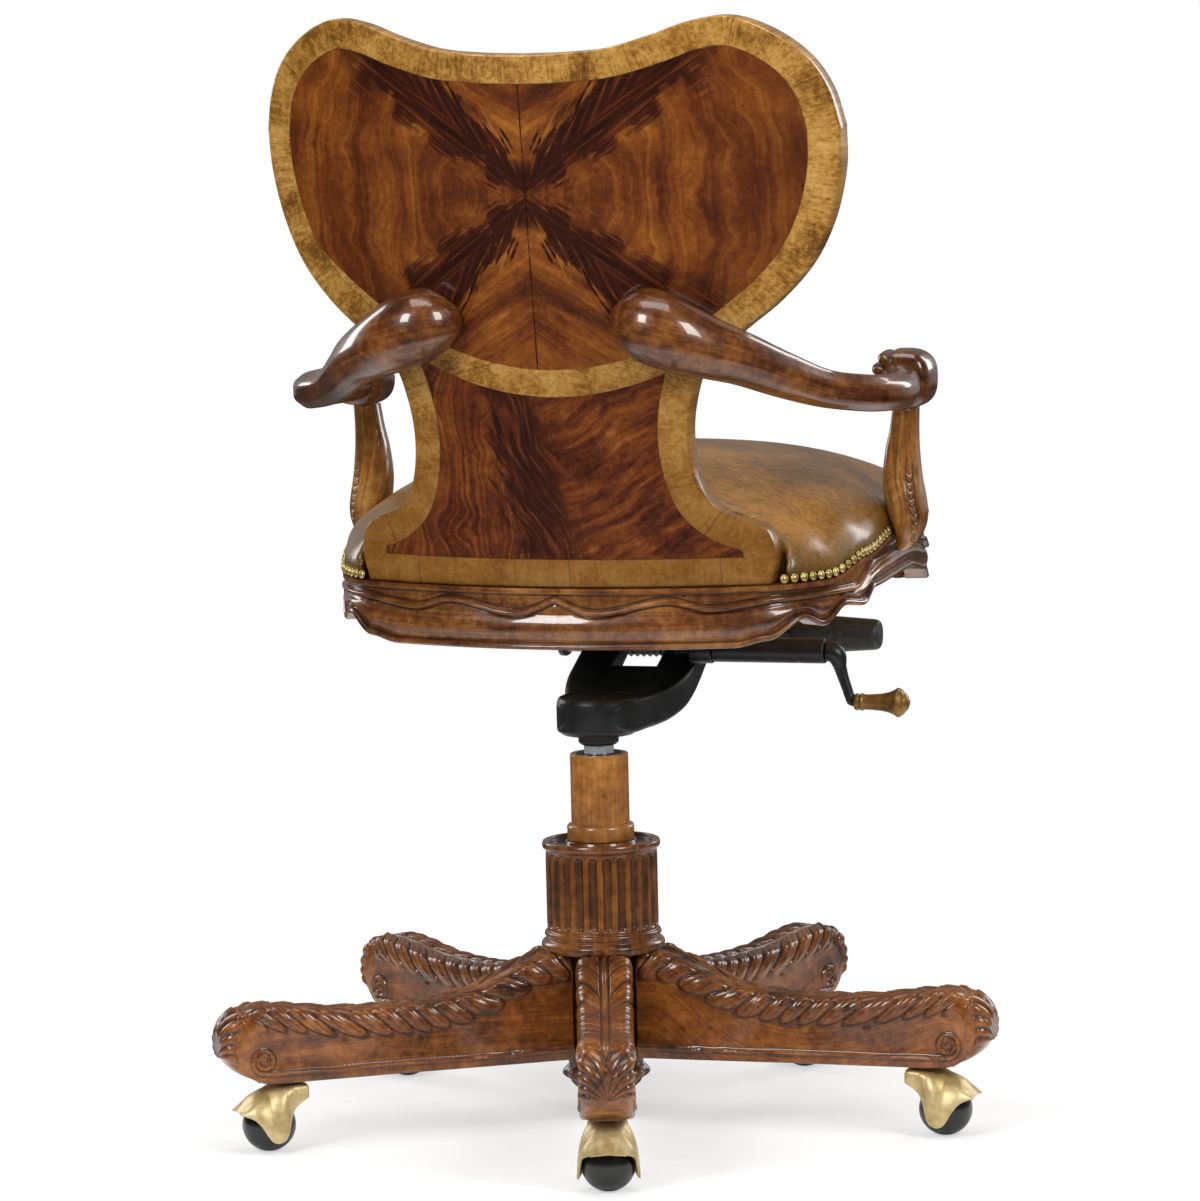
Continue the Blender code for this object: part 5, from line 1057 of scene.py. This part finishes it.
def leg_points(count=360):
    """Surface of one leg along +X: places, run along it, column of its top's middle, and crest."""
    bottom = 0.0660
    top = through([(0.0388, 0.1655), (0.050, 0.1655), (0.062, 0.1650), (0.085, 0.1565), (0.110, 0.1440),
                   (0.1335, 0.1350), (0.170, 0.1290), (0.205, 0.1268), (0.240, 0.1268), (0.273, 0.1285),
                   (0.310, 0.1335), (0.346, 0.1362), (0.362, 0.1325), (0.3725, 0.1235), (0.3778, 0.1105),
                   (0.3775, 0.0980), (0.3725, 0.0860), (0.3625, 0.0765), (0.3490, 0.0705), (0.3440, 0.0690)])
    low = [(0.0388, bottom), (0.280, bottom), (0.318, bottom), (0.336, 0.0664), (0.3435, 0.0676)]
    low = through(low, rounded=False)
    share = spread(count + 1)
    crest = top(share)
    foot = low(np.interp(share, [0.0, 0.35, 0.62, 0.80, 1.0], [0.0, 0.43, 0.76, 0.93, 1.0]))
    wide = between([(0.0388, 0.0248), (0.21, 0.0230), (0.31, 0.0245), (0.378, 0.0252)], crest[:, 0])
    wide = wide * between([(0.0, 1.0), (0.86, 1.0), (0.94, 0.93), (1.0, 0.70)], share)
    # Half of the section, from the middle of the underside to that of the top, closest where it is carved
    corners = [(0.0, 0.0), (0.90, 0.0), (1.0, 0.06), (1.0, 0.86), (0.84, 1.0), (0.0, 1.0)]
    section = through(soften(corners, 0.10), rounded=False)
    stations = [np.linspace(0.0, 0.25, 8)[:-1], np.linspace(0.25, 0.50, 30)[:-1], np.linspace(0.50, 1.0, 84)]
    half = section(np.concatenate(stations))
    tall = np.linalg.norm(crest - foot, axis=1)
    rise = (crest - foot) / tall[:, None]
    w, h = half[:, 0][None, :], half[:, 1][None, :]
    upper = ease(0.45, 1.0, h)
    crown = 0.0030 * (1.0 - w ** 2) * upper * np.minimum(1.0, tall / 0.03)[:, None]
    pinch = 1.0 - 0.05 * np.sin(np.pi * np.clip(h, 0.0, 1.0)) * ease(0.0, 0.2, h)
    lift = h * tall[:, None] - (0.0030 * upper - crown)
    # The toe's front is rounded from side to side.
    nose = ease(0.345, 0.378, crest[:, 0:1]) * 0.006 * w ** 4 * upper
    radial = foot[:, 0:1] + rise[:, 0:1] * lift - nose
    height = foot[:, 1:2] + rise[:, 1:2] * lift
    half_points = np.stack([radial, w * wide[:, None] * pinch, height], axis=-1)
    points = np.concatenate([half_points, half_points[:, -2::-1] * [1.0, -1.0, 1.0]], axis=1)
    return points, top.length * share, half_points.shape[1] - 1, crest


def build_legs():
    """Five legs, each with two rows of leaves, a palm leaf over the toe and a bead that ends in a scroll."""
    points, run, top, crest = leg_points()
    gaps = np.linalg.norm(np.diff(points, axis=1), axis=-1)
    girth = np.hstack([np.zeros((len(points), 1)), np.cumsum(gaps, axis=1)])
    # w is the way down from the spine on either side, a the way out along the leg
    w = np.abs(girth - girth[:, top:top + 1])
    a = np.repeat(run[:, None], w.shape[1], axis=1)
    r, z = points[..., 0], points[..., 2]
    toe = run[np.argmax(crest[:, 0] > 0.348)]
    stem = run[np.argmax((crest[:, 0] > 0.36) & (crest[:, 1] < 0.0935))]
    # Leaves wound along both upper edges: their strands leave the spine nearly level and slant down to
    # rounded tips every 24 mm that point at the hub, each leaf lying over the next one
    sweep = 0.95 * w + 0.012 * (1.0 - np.exp(-w / 0.006))
    leaf = ((a + sweep) / LEAF_PITCH + 0.30 * np.sin(a * 40.0)) % 1.0
    lap = np.sin(np.pi * leaf) ** 0.45 * (1.0 - 0.30 * leaf)
    strand = np.abs(np.sin(np.pi * 3.0 * leaf ** 0.9))
    lower = 0.0335 + 0.0080 * np.sin(np.pi * leaf) ** 0.6
    band = ease(0.0036, 0.0060, w) * ease(lower + 0.0008, lower - 0.0020, w)
    fade = ease(-0.004, 0.004, a) * ease(toe + 0.010, toe - 0.006, a)
    carved = band * fade
    under = bump(w - lower - 0.0012, 0.0014) * fade
    gutter_shade = bump(w - 0.0040, 0.0010) * fade
    spine = bump(w, 0.0022, 4) * ease(0.0, 0.01, a) * ease(toe + 0.004, toe - 0.008, a)
    fold = 0.55 + 0.45 * np.sin(np.pi * np.clip(w / 0.040, 0.0, 1.0))
    depth = carved * fold * (0.0042 * lap + 0.0009 * strand ** 0.5)
    # Painted shade between the leaves and their strands, and a painted highlight on the strands' crests
    valley = bump(leaf, 0.080) + bump(leaf - 1.0, 0.080) + 0.65 * (1.0 - strand) ** 3
    hollow = carved * np.clip(1.3 * valley, 0.0, 1.0) - 0.60 * carved * (strand > 0.75) * lap
    # Under the leaves a cut line with painted shade in it, up the middle a spine, and beside it a line of
    # painted shade as a gutter
    depth = np.maximum(depth - 0.0012 * under, 0.0022 * spine)
    hollow = np.maximum(np.maximum(hollow, 0.95 * under) * (1.0 - spine), 0.95 * gutter_shade)
    # Palm leaf over the toe: its strands rise from a stem low on the front and bend out to both sides;
    # painted shade lies between them and a painted highlight on their outer parts
    beside = np.where(np.arange(points.shape[1])[None, :] >= top, 1.0, -1.0) * w
    along = stem - a
    out = np.hypot(beside, along + 0.004)
    turn = np.arctan2(np.abs(beside), along + 0.004) - 7.0 * np.clip(out - 0.012, 0.0, 0.05)
    fingers = np.abs(np.sin((turn + 0.75) * 10.5))
    reach = 0.0520 + 0.0040 * fingers - 0.012 * np.clip(turn, 0.0, 1.0)
    palm = ease(toe - 0.006, toe + 0.004, a) * ease(reach + 0.0020, reach - 0.0020, out)
    palm = palm * ease(-0.004, 0.001, along) * ease(0.0310, 0.0270, w)
    depth = depth + palm * (0.0008 + 0.0024 * fingers ** 0.6 + 0.0010 * bump(beside, 0.0016))
    hollow = np.maximum(hollow, palm * (0.98 * (1.0 - fingers) ** 1.2))
    hollow = hollow - 0.45 * palm * (fingers > 0.80) * ease(0.012, 0.030, out)
    # Along the bottom of each side a bead that winds into an open scroll at the toe, the ground sunk above
    # it; painted shade in the quirk beside it and a painted highlight on the bead
    widest = np.abs(points[..., 1]).max(axis=1, keepdims=True)
    on_side = (np.abs(points[..., 1]) > 0.80 * widest) & (z < 0.1355) & (w > 0.030)
    eye_r, eye_z, coil = 0.3400, 0.0885, 0.0125
    wind = spread(160)[:, None]
    bearing = -np.pi / 2.0 + wind * 2.0 * np.pi * 1.6
    shrink = coil + (0.0052 - coil) * wind ** 0.85
    winding = np.hstack([eye_r + shrink * np.cos(bearing), eye_z + shrink * np.sin(bearing)])
    straight = np.stack([np.linspace(0.03, eye_r, 220)[:-1], np.full(219, eye_z - coil)], axis=-1)
    line = np.vstack([straight, winding])
    spots = np.stack([r, z], axis=-1)[on_side]
    far = np.ones_like(r)
    far[on_side] = np.linalg.norm(spots[:, None, :] - line[None], axis=-1).min(axis=1)
    bead, quirk = bump(far, 0.0015, 4), bump(far - 0.0025, 0.0008)
    button = np.sqrt(np.clip(1.0 - (np.hypot(r - eye_r, z - eye_z) / 0.0036) ** 2, 0.0, 1.0)) * on_side
    ground = on_side * ease(eye_z - coil, eye_z - coil + 0.002, z) * ease(0.352, 0.340, r)
    ground = ground * ease(lower - 0.002, lower + 0.002, w)
    depth = depth - 0.0012 * ground + np.maximum(0.0022 * bead, 0.0026 * button)
    hollow = np.maximum(hollow, 0.9 * quirk * (1.0 - button)) - 0.35 * bead
    # Small knocks from long use, with painted shade in them
    knocks = ((0.110, 0.098, 0.0022), (0.146, 0.088, 0.0018), (0.188, 0.101, 0.0024), (0.231, 0.086, 0.0018),
              (0.262, 0.104, 0.0022), (0.296, 0.084, 0.0018))
    dents = on_side * sum(np.exp(-((r - spot_r) ** 2 * 0.5 + (z - spot_z) ** 2) / wide ** 2)
                          for spot_r, spot_z, wide in knocks)
    depth = depth - 0.0007 * dents
    hollow = np.maximum(hollow, 0.5 * dents)
    points = points + outward_normals(points) * depth[..., None]
    points[..., 2] = np.maximum(points[..., 2], 0.0662)
    points[..., 0] = np.clip(points[..., 0], 0.0388, 0.3795)
    bm = formed(points, np.stack([a, girth], axis=-1), np.clip(hollow, -1.0, 1.0), closed=True)
    bmesh.ops.recalc_face_normals(bm, faces=bm.faces)
    pattern = as_mesh("leg_pattern", bm)
    for index, turn in enumerate(LEG_TURNS):
        piece(f"leg_{index + 1}_carved", pattern.copy(), LEG_WOOD, "base", [f"leg_{index + 1}"],
              turn, smooth=75.0)
    bpy.data.meshes.remove(pattern)


build_legs()


# Castors


def hood_shell():
    """Cast hood: a square boss under the leg, two side lobes down past the axle, an arched mouth in front."""
    along = np.array([-0.0172, -0.0170, -0.0164, *np.linspace(-0.0154, 0.0480, 96), 0.0486, 0.0492, 0.0496])
    top = between([(-0.0172, 0.0600), (-0.0150, 0.0628), (-0.0100, 0.0632), (0.0120, 0.0632)], along)
    crest = through([(0.0120, 0.0632), (0.0180, 0.0618), (0.0234, 0.0595), (0.0295, 0.0568),
                     (0.0363, 0.0528), (0.0401, 0.0493), (0.0462, 0.0428), (0.0496, 0.0392)])
    top = np.where(along > 0.0120, np.interp(along, *crest(spread(300)).T), top)
    edge = through([(-0.0172, 0.0512), (-0.0150, 0.0500), (-0.0084, 0.0462), (-0.0031, 0.0417),
                    (-0.0006, 0.0378), (0.0022, 0.0300), (0.0040, 0.0228), (0.0062, 0.0172),
                    (0.0098, 0.0131), (0.0150, 0.0112), (0.0190, 0.0112), (0.0228, 0.0130),
                    (0.0265, 0.0174), (0.0310, 0.0250), (0.0355, 0.0311), (0.0393, 0.0345),
                    (0.0439, 0.0366), (0.0496, 0.0382)])
    low = np.interp(along, *edge(spread(400)).T)
    wide = through([(-0.0172, 0.0120), (-0.0168, 0.0150), (-0.0155, 0.0172), (-0.0110, 0.0184),
                    (-0.0050, 0.0187), (0.0000, 0.0196), (0.0040, 0.0222), (0.0080, 0.0256),
                    (0.0130, 0.0280), (0.0185, 0.0288), (0.0250, 0.0284), (0.0310, 0.0272),
                    (0.0360, 0.0254), (0.0400, 0.0232), (0.0439, 0.0208), (0.0496, 0.0164)])
    wide = np.interp(along, *wide(spread(400)).T)
    square = np.interp(along, [-0.019, -0.002, 0.010, 0.022, 0.0512], [0.26, 0.30, 0.62, 0.92, 0.95])
    top, low, wide, square = (row[:, None] for row in (top, low, wide, square))
    v = np.linspace(-1.0, 1.0, 101)[None, :]
    bend = v * np.pi / 2.0
    side = wide * np.sign(v) * np.abs(np.sin(bend)) ** square
    height = low + (top - low) * np.cos(bend) ** square
    reach = np.repeat(along[:, None], v.shape[1], axis=1)
    # Three faint ruffles that die out above the mouth, with painted shade between them
    lip = ease(0.030, 0.044, reach) * ease(0.0500, 0.0470, reach)
    height = height + lip * 0.0005 * np.cos(v * np.pi * 3.0)
    hollow = 0.25 * lip * (1.0 - np.abs(np.cos(v * np.pi * 1.5))) ** 2
    shell = formed(np.stack([reach, side, height], axis=-1), hollow=hollow)
    bmesh.ops.remove_doubles(shell, verts=shell.verts, dist=1e-6)
    bmesh.ops.recalc_face_normals(shell, faces=shell.faces)
    if sum(face.normal.z for face in shell.faces) < 0.0:
        bmesh.ops.reverse_faces(shell, faces=shell.faces)
    bmesh.ops.solidify(shell, geom=shell.faces[:], thickness=0.0019)
    bmesh.ops.recalc_face_normals(shell, faces=shell.faces)
    return as_mesh("hood", shell)


def seamed_ball():
    """A ball whose two halves meet in a fine seam."""
    ball = bmesh.new()
    bmesh.ops.create_uvsphere(ball, u_segments=64, v_segments=48, radius=BALL)
    bmesh.ops.rotate(ball, verts=ball.verts, matrix=Matrix.Rotation(math.pi / 2.0, 3, "X"))
    seam = ball.verts.layers.float.new("hollow")
    for vert in ball.verts:
        near = math.exp(-(vert.co.y / 0.0007) ** 2)
        vert[seam] = -0.8 * near
        vert.co *= 1.0 - 0.010 * near
    return as_mesh("ball", ball)


def build_castors():
    """Under each toe a swivel cup, a cast hood and its ball."""
    hood, ball = hood_shell(), seamed_ball()
    cup = soften([(0.0, 0.0634), (0.0136, 0.0634), (0.0136, 0.0659), (0.0, 0.0659)], 0.0004)
    for number, turn in enumerate(LEG_TURNS, 1):
        way = Vector((math.cos(turn), math.sin(turn), 0.0))
        place = way * CASTOR_CIRCLE
        piece(f"swivel_cup_{number}", turned(cup, 48), BLACK_STEEL, "base", shift=place)
        piece(f"hood_{number}_cast", hood.copy(), CASTOR_BRASS, f"castor_{number}",
              [f"castor_hood_{number}"], turn, place, smooth=60.0)
        place = way * (CASTOR_CIRCLE + CASTOR_TRAIL) + Vector((0.0, 0.0, BALL))
        piece(f"ball_{number}_rolling", ball.copy(), BALL_RUBBER, f"ball_{number}",
              [f"castor_ball_{number}"], turn, place, smooth=80.0)


build_castors()


# Tilt mechanism, crank and lever


def build_yoke():
    """Cast yoke: a round hub over the gas lift whose two sides sweep forward and up to the tilt pivot."""
    hub = turned(soften([(0.0, 0.3600), (0.0160, 0.3600), (0.0190, 0.3625), (0.0190, 0.3690),
                         (0.0235, 0.3696), (0.0330, 0.3700), (0.0385, 0.3740), (0.0385, 0.4010),
                         (0.0365, 0.4052), (0.0345, 0.4058), (0.0335, 0.4046), (0.0070, 0.4046),
                         (0.0060, 0.4040), (0.0060, 0.3864), (0.0, 0.3864)],
                        0.0012), 96)
    # Inner and outer side, bottom and top of an arm, by its place forward
    sides = [(0.0330, 0.0130, 0.0160, 0.3890, 0.3910), (0.0290, 0.0125, 0.0260, 0.3800, 0.3975),
             (0.0180, 0.0120, 0.0350, 0.3728, 0.4030), (0.0000, 0.0120, 0.0388, 0.3712, 0.4045),
             (-0.0280, 0.0140, 0.0420, 0.3714, 0.4040), (-0.0480, 0.0165, 0.0470, 0.3722, 0.4050),
             (-0.0680, 0.0190, 0.0530, 0.3749, 0.4075), (-0.0950, 0.0210, 0.0585, 0.3813, 0.4138),
             (-0.1200, 0.0220, 0.0600, 0.3903, 0.4216), (-0.1450, 0.0220, 0.0600, 0.4022, 0.4318),
             (-0.1620, 0.0220, 0.0600, 0.4121, 0.4400), (-0.1760, 0.0220, 0.0600, 0.4190, 0.4425),
             (-0.1825, 0.0225, 0.0595, 0.4250, 0.4380), (-0.1840, 0.0260, 0.0560, 0.4290, 0.4330)]
    web = [(-0.0100, -0.0300, 0.0300, 0.3860, 0.4044), (-0.0500, -0.0330, 0.0330, 0.3860, 0.4054),
           (-0.0900, -0.0360, 0.0360, 0.3900, 0.4118), (-0.1180, -0.0360, 0.0360, 0.3985, 0.4180),
           (-0.1225, -0.0350, 0.0350, 0.4050, 0.4170)]
    angle = 2.0 * np.pi * spread(65)[None, :]
    across, upright = (np.sign(wave) * np.abs(wave) ** 0.30 for wave in (np.cos(angle), np.sin(angle)))
    bars = []
    for rows, mirror in ((sides, 1.0), (sides, -1.0), (web, 1.0)):
        y, inner, outer, low, high = through(rows)(spread(90)).T[:, :, None]
        x = mirror * ((inner + outer) / 2.0 + (outer - inner) / 2.0 * across)
        z = (low + high) / 2.0 + (high - low) / 2.0 * upright
        bar = formed(np.stack([x, np.broadcast_to(y, x.shape), z], axis=-1), closed=True)
        bmesh.ops.recalc_face_normals(bar, faces=bar.faces)
        bars.append(bar)
    bmesh.ops.recalc_face_normals(hub, faces=hub.faces)
    piece("yoke_cast", joined(hub, *bars), BLACK_STEEL, "lift", ["tilt_yoke"], smooth=50.0)


def build_plate():
    """Pressed plate under the seat, with a rounded cheek each side for the pivot pin and a crank housing."""
    plate = bmesh.new()
    bmesh.ops.create_grid(plate, x_segments=1, y_segments=1, size=0.5)
    bmesh.ops.scale(plate, verts=plate.verts, vec=(0.170, 0.168, 1.0))
    bmesh.ops.translate(plate, verts=plate.verts, vec=(0.0, -0.130, 0.4508))
    thicken(plate, (0.0, 0.0, 0.0038))
    ease_edges(plate, plate.edges[:], 0.0010)
    parts = [plate]
    outline = [(-0.205, 0.4520), (-0.196, 0.4360), (-0.184, 0.4235), (-0.170, 0.4208), (-0.156, 0.4235),
               (-0.140, 0.4360), (-0.120, 0.4440), (-0.080, 0.4480), (-0.060, 0.4520)]
    edge = through(outline)(spread(60))
    for side in (-0.0848, 0.0808):
        cheek = bmesh.new()
        bmesh.ops.contextual_create(cheek, geom=[cheek.verts.new((side, y, z)) for y, z in edge])
        thicken(cheek, (0.0040, 0.0, 0.0))
        parts.append(cheek)
    wall = soften([(0.0062, 0.0), (0.0125, 0.0), (0.0135, 0.0010), (0.0135, 0.0210), (0.0125, 0.0220),
                   (0.0062, 0.0220), (0.0062, 0.0)], 0.0006)
    parts.append(turned(wall, 64, lay=math.pi / 2.0, place=(-0.0852, CRANK_PLACE, CRANK_LEVEL)))
    for part in parts:
        bmesh.ops.recalc_face_normals(part, faces=part.faces)
    piece("seat_plate_pressed", joined(*parts), BLACK_STEEL, "seat", ["seat_plate"])


def build_crank():
    """Bent steel crank with its turned brass knob, and the tube that it turns in."""
    y, level = CRANK_PLACE, CRANK_LEVEL
    start, elbow, end, low = -0.0560, -0.2013, -0.2193, 0.3902
    path = np.array([(start, y, level, 0.0054), (start - 0.001, y, level, 0.0055),
                     (elbow + 0.0062, y, level, 0.0055), (elbow + 0.0050, y, level, 0.0092),
                     (elbow + 0.0010, y, level - 0.0006, 0.0098),
                     (elbow - 0.0035, y, level - 0.0030, 0.0096),
                     (elbow - 0.0060, y, level - 0.0085, 0.0082),
                     (elbow - 0.0076, y, level - 0.0150, 0.0062),
                     (elbow - 0.0105, y, level - 0.0250, 0.0053), (end + 0.0038, y, low + 0.012, 0.0049),
                     (end + 0.0012, y, low + 0.0045, 0.0048), (end - 0.0040, y, low, 0.0046),
                     (end - 0.0440, y, low, 0.0040), (end - 0.0448, y, low, 0.0030)])
    run = through(path)(spread(160))
    angle = 2.0 * np.pi * spread(33)[None, :, None]
    lift = np.cross(unit(np.gradient(run[:, :3], axis=0)), [0.0, 1.0, 0.0])
    ring = np.array([0.0, 1.0, 0.0]) * np.cos(angle) + lift[:, None] * np.sin(angle)
    bent = formed(run[:, None, :3] + run[:, None, 3:] * ring, closed=True)
    piece("crank_bent", bent, BLACK_STEEL, "crank", ["crank_arm"], smooth=50.0)
    inner, outer = -0.0853, -0.1953
    wall = soften([(0.0059, 0.0), (0.0112, 0.0), (0.0120, 0.0010), (0.0120, 0.0240), (0.0115, 0.0250),
                   (0.0120, 0.0260), (0.0120, inner - outer - 0.001), (0.0112, inner - outer),
                   (0.0059, inner - outer)], 0.0006)
    sleeve = turned(wall + wall[:1], 64, lay=math.pi / 2.0, place=(outer, y, level))
    piece("crank_tube_turned", sleeve, BLACK_STEEL, "seat", ["crank_tube"], smooth=50.0)
    outline = [(0.0, 0.0), (0.0072, 0.0), (0.0080, 0.0012), (0.0080, 0.0036), (0.0070, 0.0044),
               (0.0070, 0.0052), (0.0082, 0.0060), (0.0084, 0.0076), (0.0074, 0.0088), (0.0072, 0.0110),
               (0.0075, 0.0180), (0.0082, 0.0260), (0.0098, 0.0335), (0.0122, 0.0390), (0.0138, 0.0412),
               (0.0140, 0.0425), (0.0134, 0.0440), (0.0126, 0.0446), (0.0123, 0.0456), (0.0110, 0.0470),
               (0.0094, 0.0484), (0.0086, 0.0488), (0.0080, 0.0500), (0.0058, 0.0516), (0.0034, 0.0524),
               (0.0028, 0.0530), (0.0, 0.0531)]
    place = (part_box("crank_knob")[1].x - COLUMN.x, y, low)
    knob = turned(soften(outline, 0.0006), 72, lay=-math.pi / 2.0, place=place)
    piece("knob_turned", knob, KNOB_BRASS, "knob", ["crank_knob"])


def dimples(angle, share, height):
    """Small oval hollows, nine round the grip, each row set half a step on, with painted shade in each."""
    row = np.round((height - 0.022) / 0.0105)
    turn = (angle * 9.0 / (2.0 * np.pi) + 0.5 * (row % 2)) % 1.0 - 0.5
    beside = turn * 2.0 * np.pi / 9.0 * 0.016
    cup = bump(height - 0.022 - row * 0.0105, 0.0026) * bump(beside, 0.0016) * (row >= 0) * (row <= 3)
    return -0.0012 * cup, 0.9 * cup


def build_grip():
    """Moulded grip of the height lever, as long as its CAD node, dimpled for the fingers."""
    grip_low, grip_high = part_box("lever_grip")
    length = grip_high.x - grip_low.x
    outline = soften([(0.0, 0.0), (0.0150, 0.0), (0.0176, 0.0040), (0.0180, length * 0.35),
                      (0.0146, length - 0.004), (0.0128, length - 0.0005), (0.0, length)], 0.0015)
    rows = []
    for a, b in zip(outline, outline[1:]):
        steps = max(1, int(abs(b[1] - a[1]) / 0.0007))
        rows += [(a[0] + (b[0] - a[0]) * k / steps, a[1] + (b[1] - a[1]) * k / steps) for k in range(steps)]
    place = (grip_high.x - COLUMN.x, -0.190, 0.4426)
    grip = turned([*rows, outline[-1]], 160, dimples, lay=-math.pi / 2.0, place=place)
    piece("grip_moulded", grip, BLACK_GRIP, "lever", ["lever_grip"])


def dress_mechanism():
    """The CAD nodes whose shape is right keep it and get their finish."""
    axles, stems = ([f"castor_{kind}_{leg + 1}" for leg in range(LEGS)] for kind in ("axle", "stem"))
    for finish, names in ((BLACK_STEEL, ["height_lever", "gas_tube", "tilt_spring", *stems]),
                          (ZINC, ["pivot_pin", "release_pin", "bearing_clip", "piston_rod", *axles]),
                          (PLYWOOD, ["seat_bearer", "seat_deck"])):
        for name in names:
            materials = bpy.data.objects[name].data.materials
            materials.clear()
            materials.append(finish)


build_yoke()
build_plate()
build_crank()
build_grip()
dress_mechanism()


# Floor, light and camera


def build_floor():
    """White paper that fades into the white round it; gloss on the chair sees it only close by."""
    mat, add, shader = begin("white_studio_paper", Roughness=0.9)
    place = add("TexCoord", out="Object")
    away = add("VectorMath LENGTH", [place], out="Value")
    grain = add("TexNoise", {0: place, 2: 1000.0 / 25.0, 3: 2.0})
    base = add("ValToRGB", [grain], stops=[(0.3, "#efefef"), (0.7, "#f4f4f4")])
    glow = add("Emission", {"Color": (1.0, 1.0, 1.0, 1.0), "Strength": 1.0})
    dim = add("BsdfDiffuse", {"Color": "#3a3a3a"})
    light_path = add("LightPath").node.outputs
    share, far = (add("Math MULTIPLY", [add("MapRange", [away, *limits], **SOFT), light_path[rays]])
                  for rays, limits in (("Is Camera Ray", (0.5, 2.4, 0.55, 1.0)),
                                       ("Is Glossy Ray", (0.55, 1.3, 0.0, 1.0))))
    mixed = add("MixShader", [far, add("MixShader", [share, shader.outputs[0], glow]), dim])
    mat.node_tree.links.new(base, shader.inputs["Base Color"])
    mat.node_tree.links.new(mixed, mat.node_tree.nodes["Material Output"].inputs[0])
    sheet = bmesh.new()
    bmesh.ops.create_circle(sheet, cap_ends=True, segments=96, radius=6.0)
    mesh = as_mesh("floor", sheet)
    mesh.materials.append(mat)
    floor = bpy.data.objects.new("floor", mesh)
    bpy.context.scene.collection.objects.link(floor)


def build_backdrop():
    """White for the camera and for glass; gloss sees a bright sweep past the chair and a dim room behind."""
    world = bpy.data.worlds.new("studio")
    world.use_nodes = True
    world.node_tree.nodes.clear()
    add = partial(put, world.node_tree)
    light_path = add("LightPath").node.outputs
    clear = add("Math MAXIMUM", [light_path["Is Camera Ray"], light_path["Is Transmission Ray"]])
    beyond = add("SeparateXYZ", [add("TexCoord", out="Generated")], out=1)
    sweep = add("MapRange", [beyond, 0.10, -0.75, 0.04, 0.24], **SOFT)
    strength = add("Mix", {0: light_path["Is Glossy Ray"], 2: 0.31, 3: sweep}, data_type="FLOAT")
    strength = add("Mix", {0: clear, 2: strength, 3: 1.0}, data_type="FLOAT")
    add("OutputWorld", [add("Background", {"Color": (1.0, 1.0, 1.0, 1.0), "Strength": strength})])
    bpy.context.scene.world = world


def build_lamps():
    """Two soft boxes on the camera's side, one over the chair and two weak ones beyond it."""
    right = Vector((-0.9563, -0.2924, 0.0))
    toward = Vector((-0.2902, 0.9493, 0.0))
    aim = Vector((0.0, 0.0, 0.55)) + COLUMN
    lamps = [("key_left", -1.9 * right + 2.5 * toward + Vector((0, 0, 2.3)), 1.0, 1.2, 78.0),
             ("key_right", 2.0 * right + 2.2 * toward + Vector((0, 0, 2.1)), 0.9, 1.3, 62.0),
             ("top", 0.2 * toward + Vector((0, 0, 3.0)), 1.8, 1.8, 50.0),
             ("far_left", -2.2 * right - 2.0 * toward + Vector((0, 0, 1.6)), 0.8, 1.8, 28.0),
             ("far_right", 2.2 * right - 2.0 * toward + Vector((0, 0, 1.6)), 0.8, 1.8, 28.0)]
    for name, spot, *shape, power in lamps:
        lamp = bpy.data.lights.new(name, "AREA")
        lamp.shape = "RECTANGLE"
        lamp.size, lamp.size_y = shape
        lamp.energy = power
        item = bpy.data.objects.new(name, lamp)
        item.location = spot + COLUMN
        item.rotation_euler = (aim - item.location).to_track_quat("-Z", "Y").to_euler()
        bpy.context.scene.collection.objects.link(item)


def build_camera():
    """A long lens behind the chair and a little over it, rolled by a degree, as the photograph was taken."""
    look = Vector((0.29025, -0.94936, -0.12041)).normalized()
    side = look.cross(Vector((0.0, 0.0, 1.0))).normalized()
    up = side.cross(look)
    roll = 0.0236
    across = side * math.cos(roll) - up * math.sin(roll)
    upward = side * math.sin(roll) + up * math.cos(roll)
    lens = bpy.data.cameras.new("camera")
    lens.sensor_fit = "HORIZONTAL"
    lens.sensor_width = 36.0
    lens.lens = 227.88
    lens.clip_end = 100.0
    camera = bpy.data.objects.new("camera", lens)
    turn = Matrix((across, upward, -look)).transposed()
    camera.matrix_world = Matrix.Translation(COLUMN + Vector((-2.0683, 6.7502, 1.352))) @ turn.to_4x4()
    bpy.context.scene.collection.objects.link(camera)
    bpy.context.scene.camera = camera


bpy.context.scene.view_settings.view_transform = "Standard"
build_floor()
build_backdrop()
build_lamps()
build_camera()
